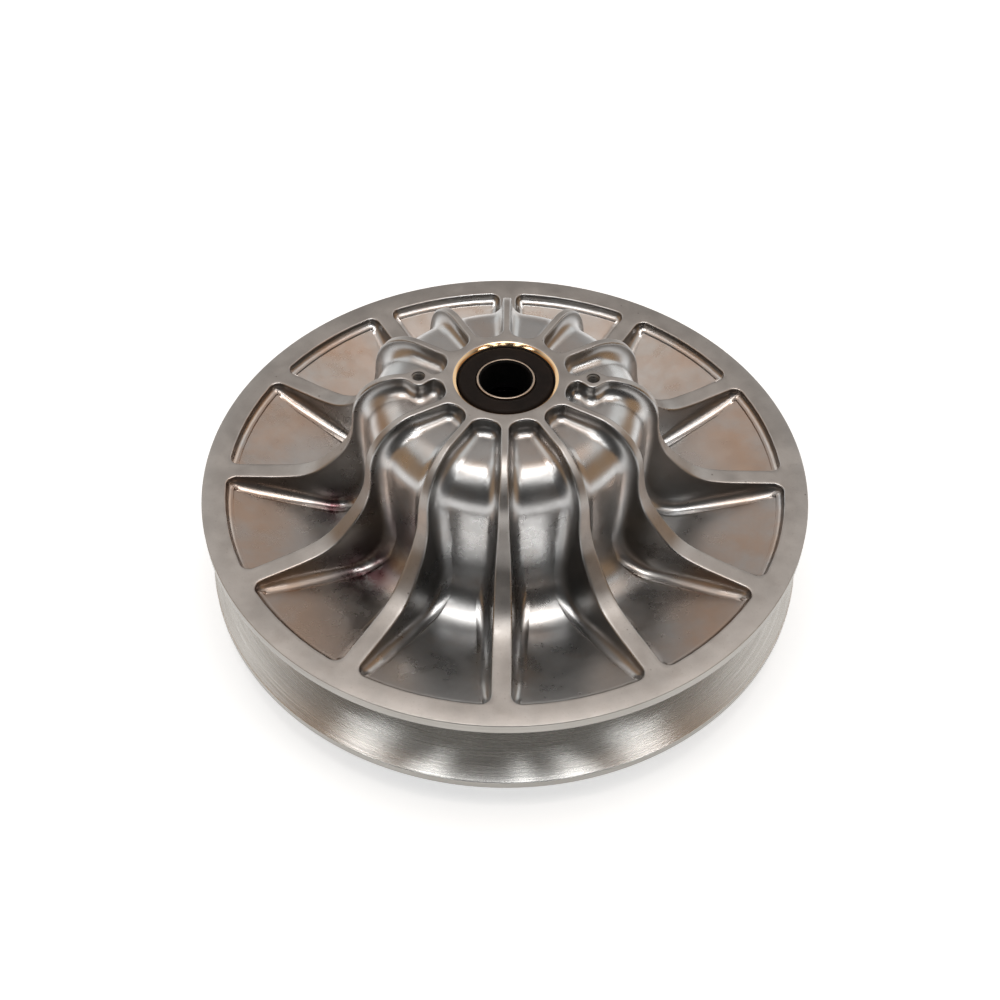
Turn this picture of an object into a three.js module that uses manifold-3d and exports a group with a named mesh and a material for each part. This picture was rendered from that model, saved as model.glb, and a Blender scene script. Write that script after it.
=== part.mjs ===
// Driven pulley of a belt drive: a fixed sheave on a post, a ribbed bell-shaped sheave that slides and
// turns on it, and the torque cam, rollers and spring that the bell covers. Millimetres, +Z up, with the
// origin on the axis at the lowest face of the fixed sheave's hub.
import * as THREE from 'three';
import { mergeVertices } from 'three/addons/utils/BufferGeometryUtils.js';
import Module from 'manifold-3d';

const wasm = await Module();
wasm.setup();

// Driving dimensions.
const SHEAVE_R = 137.5;
const RIBS = 12;
const RIM_TOP = 60;
const HUB_TOP = 120;
const RIM_HEIGHT = 4.8;
const BELT_WIDTH = 37.2;
const GROOVE_HALF_ANGLE = THREE.MathUtils.degToRad(14);
const SHAFT_R = 11;
const POST_R = 16;
const TRAVEL = 18;
const TURN = THREE.MathUtils.degToRad(30);
const GAP = 0.3;

// Belt groove: both faces are cones that would meet on the groove's middle plane.
const FACE_SLOPE = Math.tan(GROOVE_HALF_ANGLE);
const UPPER_FACE_RIM = RIM_TOP - RIM_HEIGHT;
const LOWER_FACE_RIM = UPPER_FACE_RIM - BELT_WIDTH;
const GROOVE_MIDDLE = (UPPER_FACE_RIM + LOWER_FACE_RIM) / 2;
const FACE_INNER_R = 67;
const LOWER_RIM_HEIGHT = 3.86;
const RIM_BOTTOM = LOWER_FACE_RIM - LOWER_RIM_HEIGHT;
const RIM_CHAMFER = 0.5;
const RIM_LAND = 10.25;
const POCKET_OUTER_R = SHEAVE_R - RIM_LAND;
const POCKET_END_RUN = 4.75;

// Bell sheave.
const POCKET_DEPTH = 7;
const POCKET_FLOOR_TOP = HUB_TOP - POCKET_DEPTH;
const WALL_R = 60.4;
const SHOULDER_R = 17;
const FOOT_R = 18;
const POCKET_INNER_R = 26;
const BELL_THICKNESS = 5.4;
const CAVITY_R = WALL_R - BELL_THICKNESS;
const WEB_THICKNESS = 3.6;
const CAVITY_TOP = POCKET_FLOOR_TOP - 5;
const CAVITY_CORNER = 12;
const BELL_BOTTOM = 37;
const RECESS_LIP_R = 65;
const BOSS_R = 5.3;
const TAPPED_HOLE_R = 2.5;
const TAPPED_HOLE_CIRCLE_R = 37.35;
const SEAL_R = 21;
const SEAT_LIP_TOP = 106;
const SEAT_LIP_BOTTOM = 103;
const SEAT_LIP_IN = 15;
const SEAT_BLOCK_R = 27;
const SEAL_IN = 12.8;
const BUSH_R = 12.5;

// Fixed sheave.
const BACK_HUB_R = 45;
const BACK_FLOOR_SLOPE = 0.22;
const BACK_FOOT_R = 62;
const BACK_FOOT_Z = 16;
const BACK_RIB_HALF_WIDTH = 3;
const CENTRE_FLAT_R = 64;
const CENTRE_FLAT_Z = 34;
const SHEAVE_SCREWS = {
  radius: 27,
  start: Math.PI / 6,
  hole: 2.8,
  pocket: 5,
  pocketTop: 16,
  tap: 2.6,
};

// Torque cam and rollers.
const ROLLERS = 3;
const ROLLER_R = 7;
const ROLLER_Z = 56.5;
const ROLLER_IN = 25;
const ROLLER_OUT = 33;
const PIN_R = 3;
const CAM_TOP = 87;
const CAM_ROOF = 82.2;
const CAM_DISC_BOTTOM = 83;
const CAM_TOOTH_IN = 24;
const CAM_TOOTH_OUT = 34;
const RAMP_OFFSET = 12.6;
const RAMP_START = THREE.MathUtils.degToRad(-14);
const ROOF_END = THREE.MathUtils.degToRad(50);
const FIRST_ROLLER = Math.PI / 2;
const PIN_IN = 23.6;
const KEY = { width: 3.4, depth: 3.6, clearance: 0.6, x: POST_R - 0.1 };

// Roller carrier in the bell's foot, and the parts that are stacked on the post.
const CARRIER_BOTTOM = 36;
const CARRIER_TOP = 42;
const CARRIER_R = 63;
const CARRIER_HUB_R = 22.5;
const CARRIER_HUB_TOP = 57;
const CARRIER_SCREWS = {
  radius: 58.5,
  start: Math.PI / 12,
  hole: 2.1,
  pocket: 3.9,
  pocketDepth: 3.6,
  depth: 10,
};
const EAR_IN = 34.8;
const EAR_OUT = 40;
const EAR_WIDTH = 12;
const EAR_RISE = 5.5;
const LOWER_BUSH_R = 18.3;
const FLANGE_R = 34;
const FLANGE_BOTTOM = 30.3;
const FLANGE_TOP = CARRIER_BOTTOM - GAP;
const SEAT_THICKNESS = 3.7;
const SEAT_BOTTOM = CAM_TOP + GAP;
const SEAT_TOP = SEAT_BOTTOM + SEAT_THICKNESS;
const CLIP_BOTTOM = SEAT_TOP + GAP;
const CLIP_THICKNESS = 1.5;
const POST_BOTTOM = 0.5;
const POST_TOP = 96;
const CLIP_GROOVE_DEPTH = 1;
const SPRING_R = 47.5;
const WIRE_R = 2.5;
const SPRING_TURNS = 3.75;
const SPRING_SEAT_R = SPRING_R + 4;
const WASHER_THICKNESS = 2;
const WASHER_IN = 43;
const WASHER_BOTTOM = CARRIER_TOP + GAP;
const SCREWS = 6;

// Pocket layout: columns of the ribbed surfaces in each twelfth of a turn.
const COLUMNS_PER_RIB = 5;
const RIBBED_COLUMNS = RIBS * COLUMNS_PER_RIB;
const SECTOR = (2 * Math.PI) / RIBS;
const WALL_DRAFT = 0.25;
const RIB_HALF_WIDTH_LOW = 4.1;
const RIB_HALF_WIDTH_HIGH = 1.3;

const CAST_ALUMINIUM = new THREE.MeshStandardMaterial({ color: 0xb9b2a8, roughness: 0.38, metalness: 0.95 });
const STEEL = new THREE.MeshStandardMaterial({ color: 0x8d8f92, roughness: 0.35, metalness: 1 });
const SPRING_STEEL = new THREE.MeshStandardMaterial({ color: 0x55585c, roughness: 0.45, metalness: 0.9 });
const SEAL_RUBBER = new THREE.MeshStandardMaterial({ color: 0x1d1714, roughness: 0.6, metalness: 0 });
const BUSH_METAL = new THREE.MeshStandardMaterial({ color: 0xb6a48c, roughness: 0.4, metalness: 0.9 });
const ROLLER_PLASTIC = new THREE.MeshStandardMaterial({ color: 0xd8d2c0, roughness: 0.5, metalness: 0 });

const pulley = new THREE.Group();

function addPart(name, geometry, material) {
  const mesh = new THREE.Mesh(geometry, material);
  mesh.name = name;
  pulley.add(mesh);
  return mesh;
}

// A closed profile of [radius, height] points, listed anticlockwise, turned about +Z.
function turned(profile, segments) {
  const points = profile.map(([radius, height]) => new THREE.Vector2(radius, height));
  points.push(points[0].clone());
  return new THREE.LatheGeometry(points, segments).rotateX(Math.PI / 2);
}

function ring(inner, outer, bottom, top, segments) {
  return turned([[inner, bottom], [outer, bottom], [outer, top], [inner, top]], segments);
}

function rod(radius, bottom, top, segments) {
  const length = top - bottom;
  return new THREE.CylinderGeometry(radius, radius, length, segments)
    .rotateX(Math.PI / 2)
    .translate(0, 0, bottom + length / 2);
}

function toSolid(geometry) {
  const bare = geometry.clone();
  bare.deleteAttribute('normal');
  bare.deleteAttribute('uv');
  const merged = mergeVertices(bare);
  return new wasm.Manifold(new wasm.Mesh({
    numProp: 3,
    vertProperties: new Float32Array(merged.attributes.position.array),
    triVerts: new Uint32Array(merged.index.array),
  }));
}

function toGeometry(solid) {
  const mesh = solid.getMesh();
  const geometry = new THREE.BufferGeometry();
  geometry.setAttribute('position', new THREE.BufferAttribute(new Float32Array(mesh.vertProperties), 3));
  geometry.setIndex(new THREE.BufferAttribute(new Uint32Array(mesh.triVerts), 1));
  geometry.computeVertexNormals();
  return geometry;
}

function combined(base, additions, cuts) {
  let solid = toSolid(base);
  for (const addition of additions) {
    solid = solid.add(toSolid(addition));
  }
  for (const cut of cuts) {
    solid = solid.subtract(toSolid(cut));
  }
  return toGeometry(solid);
}

function aroundAxis(count, start, makeGeometry) {
  const geometries = [];
  for (let i = 0; i < count; i += 1) {
    geometries.push(makeGeometry().rotateZ(start + (i * 2 * Math.PI) / count));
  }
  return geometries;
}

// One rod for each screw of a circle of screws.
function screwRods(circle, radius, bottom, top) {
  const segments = radius > circle.hole ? 16 : 12;
  return aroundAxis(SCREWS, circle.start, () => (
    rod(radius, bottom, top, segments).translate(circle.radius, 0, 0)
  ));
}

// Height of the belt face at a radius, on the upper (+1) or the lower (-1) side of the groove.
function faceHeight(radius, side) {
  const rimHeight = GROOVE_MIDDLE + (side * BELT_WIDTH) / 2;
  return rimHeight - side * (SHEAVE_R - radius) * FACE_SLOPE;
}

// A sheave with ribs: each station of the ribbed face holds a point on the ribs' crests and one on the
// pockets' floors. Plain stations hold one point for both, at even angles.
function ribbedSheave(stations, halfWidth) {
  const outline = stations.map((station) => [station.crest.x, station.crest.y]);
  const geometry = turned(outline, RIBBED_COLUMNS);
  const position = geometry.attributes.position;
  const rows = stations.length + 1;
  for (let column = 0; column <= RIBBED_COLUMNS; column += 1) {
    const rib = Math.floor(column / COLUMNS_PER_RIB);
    const place = column % COLUMNS_PER_RIB;
    for (let row = 0; row < rows; row += 1) {
      const station = stations[row % stations.length];
      const onCrest = place === 1 || place === 0;
      const point = onCrest ? station.crest : station.floor;
      const angle = rib * SECTOR + columnOffsets(station, halfWidth)[place];
      position.setXYZ(column * rows + row, point.x * Math.cos(angle), point.x * Math.sin(angle), point.y);
    }
  }
  geometry.computeVertexNormals();
  return geometry;
}

// Angles of a station's columns from the middle of their rib: both edges of the crest, then the foot of
// the pocket's near side, its middle and the foot of its far side.
function columnOffsets({ crest, floor, even }, halfWidth) {
  if (even) {
    const step = SECTOR / COLUMNS_PER_RIB;
    return [-0.5, 0.5, 1.5, 2.5, 3.5].map((place) => place * step);
  }
  const width = halfWidth(crest);
  const depth = Math.min(crest.distanceTo(floor), POCKET_DEPTH);
  const crestEdge = width / crest.x;
  const floorEdge = (width + 0.4 + WALL_DRAFT * depth) / floor.x;
  return [-crestEdge, crestEdge, floorEdge, SECTOR / 2, SECTOR - floorEdge];
}

function plainStations(points) {
  return points.map(([radius, height]) => {
    const point = new THREE.Vector2(radius, height);
    return { crest: point, floor: point, even: true };
  });
}

// The end of the pockets, where their floors come up to the ribs' crests.
function pocketEnd(radius, height) {
  const point = new THREE.Vector2(radius, height);
  return { crest: point, floor: point, even: false };
}

function pocketStations(crestCurve, floorCurve, count) {
  const crestPoints = crestCurve.getSpacedPoints(count);
  const floorPoints = floorCurve.getSpacedPoints(count);
  return crestPoints.map((crest, i) => {
    crest.y = Math.min(crest.y, HUB_TOP);
    return { crest, floor: floorPoints[i] };
  });
}

// Crest line of the bell's ribs, from the rim land up over the shoulder to the hub.
function bellCrest() {
  const outline = [
    [124, 0], [108, 0], [94, 0.8], [83.7, 5.6], [72.8, 16.8], [68.5, 26], [67, 38],
    [64.9, 46.3], [57.8, 55.3], [47, 60], [38, 60], [28, 60],
  ];
  return new THREE.SplineCurve(outline.map(([radius, rise]) => new THREE.Vector2(radius, RIM_TOP + rise)));
}

// Floor line of the bell's pockets: along the belt face, up the wall and over the shoulder.
function bellFloor() {
  const footCentre = new THREE.Vector2(WALL_R + FOOT_R, 0);
  footCentre.y = faceHeight(footCentre.x, 1) + WEB_THICKNESS + FOOT_R / Math.cos(GROOVE_HALF_ANGLE);
  const floorStart = POCKET_OUTER_R - POCKET_END_RUN;
  const shoulderCentre = new THREE.Vector2(WALL_R - SHOULDER_R, POCKET_FLOOR_TOP - SHOULDER_R);
  const path = new THREE.Path();
  path.moveTo(floorStart, faceHeight(floorStart, 1) + WEB_THICKNESS);
  path.absarc(footCentre.x, footCentre.y, FOOT_R, -Math.PI / 2 + GROOVE_HALF_ANGLE, -Math.PI, true);
  path.absarc(shoulderCentre.x, shoulderCentre.y, SHOULDER_R, 0, Math.PI / 2, false);
  path.lineTo(POCKET_INNER_R + 4, POCKET_FLOOR_TOP);
  return path;
}

function bellHalfWidth(crest) {
  const rise = (crest.y - RIM_TOP) / (HUB_TOP - RIM_TOP);
  return THREE.MathUtils.lerp(RIB_HALF_WIDTH_LOW, RIB_HALF_WIDTH_HIGH, THREE.MathUtils.clamp(rise, 0, 1));
}

function makeMovableSheave() {
  const shoulder = [];
  const arcSteps = 4;
  for (let i = 0; i <= arcSteps; i += 1) {
    const angle = ((1 - i / arcSteps) * Math.PI) / 2;
    shoulder.push([
      CAVITY_R - CAVITY_CORNER * (1 - Math.cos(angle)),
      CAVITY_TOP - CAVITY_CORNER * (1 - Math.sin(angle)),
    ]);
  }
  const stations = [
    ...plainStations([
      [CARRIER_R + GAP, BELL_BOTTOM],
      [RECESS_LIP_R, BELL_BOTTOM],
      [FACE_INNER_R, faceHeight(FACE_INNER_R, 1)],
      [SHEAVE_R, UPPER_FACE_RIM],
      [SHEAVE_R, RIM_TOP - RIM_CHAMFER],
      [SHEAVE_R - RIM_CHAMFER, RIM_TOP],
      [POCKET_OUTER_R + 2, RIM_TOP],
    ]),
    pocketEnd(POCKET_OUTER_R, RIM_TOP),
    ...pocketStations(bellCrest(), bellFloor(), 15),
    pocketEnd(POCKET_INNER_R, HUB_TOP),
    ...plainStations([
      [SEAL_R + 1.8, HUB_TOP],
      [SEAL_R, HUB_TOP - 1.5],
      [SEAL_R, SEAT_LIP_TOP],
      [SEAT_LIP_IN, SEAT_LIP_TOP],
      [SEAT_LIP_IN, SEAT_LIP_BOTTOM],
      [SEAT_BLOCK_R, SEAT_LIP_BOTTOM],
      [SEAT_BLOCK_R, CAVITY_TOP],
      ...shoulder,
      [CAVITY_R, CARRIER_TOP + GAP],
      [CARRIER_R + GAP, CARRIER_TOP + GAP],
    ]),
  ];
  const bosses = aroundAxis(2, 0, () => (
    rod(BOSS_R, POCKET_FLOOR_TOP - 2, HUB_TOP, 20).translate(TAPPED_HOLE_CIRCLE_R, 0, 0)
  ));
  const tappedHoles = aroundAxis(2, 0, () => (
    rod(TAPPED_HOLE_R, CAVITY_TOP - 2, HUB_TOP + 2, 16).translate(TAPPED_HOLE_CIRCLE_R, 0, 0)
  ));
  const { hole, depth } = CARRIER_SCREWS;
  const screwHoles = screwRods(CARRIER_SCREWS, hole, CARRIER_TOP - 1, CARRIER_TOP + depth);
  return combined(ribbedSheave(stations, bellHalfWidth), bosses, [...tappedHoles, ...screwHoles]);
}

function fixedBackFloor() {
  const start = POCKET_OUTER_R - POCKET_END_RUN;
  const startZ = RIM_BOTTOM + 3.1;
  const footZ = startZ + (start - BACK_FOOT_R) * BACK_FLOOR_SLOPE;
  const wallR = BACK_HUB_R + 1.5;
  const path = new THREE.Path();
  path.moveTo(wallR, 3);
  path.lineTo(wallR, BACK_FOOT_Z);
  path.quadraticCurveTo(wallR, footZ + 1.5, BACK_FOOT_R, footZ);
  path.lineTo(start, startZ);
  return path;
}

function fixedBackCrest() {
  const path = new THREE.Path();
  path.moveTo(BACK_HUB_R + 0.5, 0.5);
  path.lineTo(BACK_HUB_R + 20, 4);
  path.lineTo(POCKET_OUTER_R - 3, RIM_BOTTOM);
  return path;
}

function makeFixedSheave() {
  const stations = [
    ...plainStations([
      [POST_R + GAP, 0],
      [BACK_HUB_R - 2, 0],
    ]),
    pocketEnd(BACK_HUB_R, 0),
    ...pocketStations(fixedBackCrest(), fixedBackFloor(), 7),
    pocketEnd(POCKET_OUTER_R, RIM_BOTTOM),
    ...plainStations([
      [POCKET_OUTER_R + 2, RIM_BOTTOM],
      [SHEAVE_R - RIM_CHAMFER, RIM_BOTTOM],
      [SHEAVE_R, RIM_BOTTOM + RIM_CHAMFER],
      [SHEAVE_R, LOWER_FACE_RIM],
      [FACE_INNER_R, faceHeight(FACE_INNER_R, -1)],
      [CENTRE_FLAT_R, CENTRE_FLAT_Z],
      [FLANGE_R + 6, CENTRE_FLAT_Z],
      [FLANGE_R + 2, FLANGE_BOTTOM - GAP],
      [POST_R + GAP, FLANGE_BOTTOM - GAP],
    ]),
  ];
  const holes = screwRods(SHEAVE_SCREWS, SHEAVE_SCREWS.hole, -1, FLANGE_BOTTOM + 1);
  const counterbores = screwRods(SHEAVE_SCREWS, SHEAVE_SCREWS.pocket, -1, SHEAVE_SCREWS.pocketTop);
  return combined(ribbedSheave(stations, () => BACK_RIB_HALF_WIDTH), [], [...holes, ...counterbores]);
}

// Post with its flange, its circlip groove and its key slot.
function keySlot() {
  const { width, depth, clearance, x } = KEY;
  return new THREE.BoxGeometry(depth + clearance, width + clearance, CAM_TOP - CAM_DISC_BOTTOM + clearance)
    .translate(x, 0, (CAM_TOP + CAM_DISC_BOTTOM) / 2);
}

function makePost() {
  const body = turned([
    [SHAFT_R, POST_BOTTOM],
    [POST_R, POST_BOTTOM],
    [POST_R, FLANGE_BOTTOM],
    [FLANGE_R, FLANGE_BOTTOM],
    [FLANGE_R, FLANGE_TOP],
    [POST_R, FLANGE_TOP],
    [POST_R, CLIP_BOTTOM - 0.1],
    [POST_R - CLIP_GROOVE_DEPTH, CLIP_BOTTOM - 0.1],
    [POST_R - CLIP_GROOVE_DEPTH, CLIP_BOTTOM + CLIP_THICKNESS + 0.2],
    [POST_R, CLIP_BOTTOM + CLIP_THICKNESS + 0.2],
    [POST_R, POST_TOP - 1],
    [POST_R - 1, POST_TOP],
    [SHAFT_R, POST_TOP],
  ], 36);
  const tappedHoles = screwRods(SHEAVE_SCREWS, SHEAVE_SCREWS.tap, FLANGE_BOTTOM - 1, FLANGE_TOP + 1);
  return combined(body, [], [...tappedHoles, keySlot()]);
}

// Lower edge of the cam, as a height at an angle from a roller's place at rest.
function camEdges() {
  const rampRise = TRAVEL / TURN;
  const rampEnd = (CAM_ROOF - ROLLER_Z - RAMP_OFFSET) / rampRise;
  const toothBottom = ROLLER_Z + RAMP_OFFSET + RAMP_START * rampRise;
  const step = THREE.MathUtils.degToRad(0.5);
  const edges = [];
  const run = (from, to, heightFrom, heightTo, count) => {
    for (let i = 0; i < count; i += 1) {
      const t = i / count;
      edges.push([THREE.MathUtils.lerp(from, to, t), THREE.MathUtils.lerp(heightFrom, heightTo, t)]);
    }
  };
  for (let tooth = 0; tooth < ROLLERS; tooth += 1) {
    const turn = (tooth * 2 * Math.PI) / ROLLERS;
    const next = turn + (2 * Math.PI) / ROLLERS + RAMP_START;
    run(turn + RAMP_START, turn + rampEnd, toothBottom, CAM_ROOF, 4);
    run(turn + rampEnd, turn + ROOF_END, CAM_ROOF, CAM_ROOF, 3);
    run(turn + ROOF_END, turn + ROOF_END + step, CAM_ROOF, toothBottom, 1);
    run(turn + ROOF_END + step, next, toothBottom, toothBottom, 5);
  }
  return edges;
}

function makeCam() {
  const edges = camEdges();
  const profile = [
    [CAM_TOOTH_IN, CAM_ROOF],
    [CAM_TOOTH_OUT, CAM_ROOF],
    [CAM_TOOTH_OUT, CAM_TOP],
    [POST_R + GAP, CAM_TOP],
    [POST_R + GAP, CAM_DISC_BOTTOM],
    [CAM_TOOTH_IN, CAM_DISC_BOTTOM],
  ];
  const geometry = turned(profile, edges.length);
  const position = geometry.attributes.position;
  const rows = profile.length + 1;
  for (let column = 0; column <= edges.length; column += 1) {
    const [angle, edgeHeight] = edges[column % edges.length];
    for (let row = 0; row < rows; row += 1) {
      const [radius, height] = profile[row % profile.length];
      const onEdge = height === CAM_ROOF;
      position.setXYZ(
        column * rows + row,
        radius * Math.cos(angle + FIRST_ROLLER),
        radius * Math.sin(angle + FIRST_ROLLER),
        onEdge ? edgeHeight : height,
      );
    }
  }
  return combined(geometry, [], [keySlot()]);
}

function makeCamKey() {
  return new THREE.BoxGeometry(KEY.depth, KEY.width, CAM_TOP - CAM_DISC_BOTTOM - 0.4)
    .translate(KEY.x, 0, (CAM_TOP + CAM_DISC_BOTTOM) / 2);
}

function makeSpringSeat() {
  return ring(POST_R + GAP, SPRING_SEAT_R, SEAT_BOTTOM, SEAT_TOP, 40);
}

function makeCirclip() {
  const inner = POST_R - 0.7;
  const outer = POST_R + 4;
  const opening = THREE.MathUtils.degToRad(12);
  const shape = new THREE.Shape();
  shape.absarc(0, 0, outer, opening, 2 * Math.PI - opening, false);
  shape.absarc(0, 0, inner, 2 * Math.PI - opening, opening, true);
  shape.closePath();
  const geometry = new THREE.ExtrudeGeometry(shape, {
    depth: CLIP_THICKNESS,
    bevelEnabled: false,
    curveSegments: 12,
  });
  return geometry.translate(0, 0, CLIP_BOTTOM);
}

class SpringCurve extends THREE.Curve {
  getPoint(t, target = new THREE.Vector3()) {
    const angle = t * SPRING_TURNS * 2 * Math.PI;
    const low = WASHER_BOTTOM + WASHER_THICKNESS + GAP + WIRE_R + 0.1;
    const high = SEAT_BOTTOM - GAP - WIRE_R - 0.1;
    const height = THREE.MathUtils.lerp(low, high, t);
    return target.set(SPRING_R * Math.cos(angle), SPRING_R * Math.sin(angle), height);
  }
}

function makeSpring() {
  const section = new THREE.Shape();
  section.absarc(0, 0, WIRE_R, 0, 2 * Math.PI, false);
  return new THREE.ExtrudeGeometry(section, {
    steps: 60,
    curveSegments: 4,
    extrudePath: new SpringCurve(),
  });
}

function radialRod(radius, from, to, segments) {
  return rod(radius, from, to, segments).rotateY(Math.PI / 2).translate(0, 0, ROLLER_Z);
}

// A plate with a hub and three ears, screwed up into the bell's foot.
function makeRollerCarrier() {
  const plate = turned([
    [LOWER_BUSH_R + GAP, CARRIER_BOTTOM],
    [CARRIER_R, CARRIER_BOTTOM],
    [CARRIER_R, CARRIER_TOP],
    [CARRIER_HUB_R, CARRIER_TOP],
    [CARRIER_HUB_R, CARRIER_HUB_TOP],
    [LOWER_BUSH_R + GAP, CARRIER_HUB_TOP],
  ], 40);
  const earTop = ROLLER_Z + EAR_RISE;
  const ears = aroundAxis(ROLLERS, FIRST_ROLLER, () => (
    new THREE.BoxGeometry(EAR_OUT - EAR_IN, EAR_WIDTH, earTop - CARRIER_TOP + 1)
      .translate((EAR_OUT + EAR_IN) / 2, 0, (earTop + CARRIER_TOP - 1) / 2)
  ));
  const pinHoles = aroundAxis(ROLLERS, FIRST_ROLLER, () => (
    radialRod(PIN_R + GAP, EAR_IN - 1, EAR_OUT + 1, 16)
  ));
  const { hole, pocket, pocketDepth } = CARRIER_SCREWS;
  const screwHoles = screwRods(CARRIER_SCREWS, hole, CARRIER_BOTTOM - 1, CARRIER_TOP + 1);
  const headPockets = screwRods(CARRIER_SCREWS, pocket, CARRIER_BOTTOM - 1, CARRIER_BOTTOM + pocketDepth);
  return combined(plate, ears, [...pinHoles, ...screwHoles, ...headPockets]);
}

// A cap screw standing on its head, with a round recess in the head.
function makeScrew(headR, shankR, bottom, headTop, top) {
  const points = [
    [0, headTop - 1],
    [headR * 0.45, headTop - 1],
    [headR * 0.45, bottom],
    [headR, bottom],
    [headR, headTop],
    [shankR, headTop],
    [shankR, top - 0.5],
    [shankR - 0.5, top],
    [0, top],
  ].map(([radius, height]) => new THREE.Vector2(radius, height));
  return new THREE.LatheGeometry(points, 12).rotateX(Math.PI / 2);
}

addPart('fixed_sheave', makeFixedSheave(), CAST_ALUMINIUM);
addPart('post', makePost(), STEEL);
addPart('torque_cam', makeCam(), STEEL);
addPart('cam_key', makeCamKey(), STEEL);
addPart('spring_seat', makeSpringSeat(), STEEL);
addPart('seat_circlip', makeCirclip(), SPRING_STEEL);
addPart('closing_spring', makeSpring(), SPRING_STEEL);
addPart('spring_washer', ring(
  WASHER_IN,
  SPRING_SEAT_R,
  WASHER_BOTTOM,
  WASHER_BOTTOM + WASHER_THICKNESS,
  40,
), STEEL);
addPart('movable_sheave', makeMovableSheave(), CAST_ALUMINIUM);
addPart('shaft_seal', turned([
  [SEAL_IN, SEAT_LIP_TOP + GAP],
  [SEAL_R - GAP, SEAT_LIP_TOP + GAP],
  [SEAL_R - GAP, HUB_TOP - 2.2],
  [SEAL_R - 1.3, HUB_TOP - 1],
  [SEAL_IN, HUB_TOP - 0.8],
], 36), SEAL_RUBBER);
addPart('upper_bush', turned([
  [SHAFT_R, SEAT_LIP_TOP - 2],
  [BUSH_R, SEAT_LIP_TOP - 2],
  [BUSH_R, HUB_TOP - 0.7],
  [SHAFT_R + 0.65, HUB_TOP - 0.7],
  [SHAFT_R, HUB_TOP - 1.4],
], 36), BUSH_METAL);
addPart('roller_carrier', makeRollerCarrier(), CAST_ALUMINIUM);
addPart('lower_bush', ring(
  POST_R + GAP,
  LOWER_BUSH_R,
  CARRIER_BOTTOM + 0.5,
  CARRIER_HUB_TOP - 1,
  40,
), BUSH_METAL);

for (let i = 0; i < ROLLERS; i += 1) {
  const angle = FIRST_ROLLER + (i * 2 * Math.PI) / ROLLERS;
  const roller = ring(PIN_R + GAP, ROLLER_R, ROLLER_IN, ROLLER_OUT, 24);
  roller.rotateY(Math.PI / 2).translate(0, 0, ROLLER_Z).rotateZ(angle);
  addPart(`cam_roller_${i + 1}`, roller, ROLLER_PLASTIC);
  addPart(`roller_pin_${i + 1}`, radialRod(PIN_R, PIN_IN, EAR_OUT - 0.5, 16).rotateZ(angle), STEEL);
}

for (let i = 0; i < SCREWS; i += 1) {
  const turn = (i * 2 * Math.PI) / SCREWS;
  const headTop = SHEAVE_SCREWS.pocketTop - GAP;
  const sheaveScrew = makeScrew(4.3, 2.3, headTop - 4.9, headTop, FLANGE_TOP - 0.5);
  sheaveScrew.translate(SHEAVE_SCREWS.radius, 0, 0).rotateZ(SHEAVE_SCREWS.start + turn);
  addPart(`sheave_screw_${i + 1}`, sheaveScrew, STEEL);
  const carrierScrew = makeScrew(3.5, 1.8, CARRIER_BOTTOM + 0.2, CARRIER_BOTTOM + 3.3, CARRIER_TOP + 9);
  carrierScrew.translate(CARRIER_SCREWS.radius, 0, 0).rotateZ(CARRIER_SCREWS.start + turn);
  addPart(`carrier_screw_${i + 1}`, carrierScrew, STEEL);
}

export default pulley;
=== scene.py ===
"""Looks of a driven variator pulley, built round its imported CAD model. Metres, +Z up, origin on the axis."""

import math

import bmesh
import bpy
import numpy as np
from mathutils import Matrix, Vector


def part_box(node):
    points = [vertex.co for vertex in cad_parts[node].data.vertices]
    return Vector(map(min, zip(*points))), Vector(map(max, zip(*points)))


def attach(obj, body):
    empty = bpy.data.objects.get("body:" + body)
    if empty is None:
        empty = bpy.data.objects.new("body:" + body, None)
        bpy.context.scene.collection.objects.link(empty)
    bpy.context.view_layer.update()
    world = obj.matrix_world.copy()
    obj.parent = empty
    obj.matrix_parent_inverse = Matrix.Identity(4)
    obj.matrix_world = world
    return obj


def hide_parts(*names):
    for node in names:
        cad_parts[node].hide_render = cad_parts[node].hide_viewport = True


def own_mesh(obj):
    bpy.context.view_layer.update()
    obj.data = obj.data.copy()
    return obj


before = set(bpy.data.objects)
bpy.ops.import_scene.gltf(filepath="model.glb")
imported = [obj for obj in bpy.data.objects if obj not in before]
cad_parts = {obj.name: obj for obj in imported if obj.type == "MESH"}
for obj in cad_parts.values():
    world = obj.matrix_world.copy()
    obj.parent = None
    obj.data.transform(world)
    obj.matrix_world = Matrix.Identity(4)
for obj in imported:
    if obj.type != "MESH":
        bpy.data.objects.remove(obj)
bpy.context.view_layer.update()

MM = 0.001
TAU = 2 * math.pi

# ---------------------------------------------------------------- sizes, from the frame

SHEAVE_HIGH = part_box("movable_sheave")[1]
SEAL_LOW, SEAL_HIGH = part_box("shaft_seal")
BUSH_LOW, BUSH_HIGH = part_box("upper_bush")
POST_LOW, POST_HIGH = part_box("post")
CAM_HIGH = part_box("torque_cam")[1]
SEAT_LOW, SEAT_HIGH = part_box("spring_seat")
CLIP_LOW, CLIP_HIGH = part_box("seat_circlip")
SPRING_LOW, SPRING_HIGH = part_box("closing_spring")
WASHER_LOW, WASHER_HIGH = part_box("spring_washer")
CARRIER_LOW, CARRIER_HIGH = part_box("roller_carrier")
LOWER_BUSH_LOW, LOWER_BUSH_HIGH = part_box("lower_bush")
ROLLER_LOW, ROLLER_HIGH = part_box("cam_roller_1")
PIN_LOW, PIN_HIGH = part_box("roller_pin_1")
SHEAVE_SCREW_LOW, SHEAVE_SCREW_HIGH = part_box("sheave_screw_1")
CARRIER_SCREW_LOW, CARRIER_SCREW_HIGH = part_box("carrier_screw_1")

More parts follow.
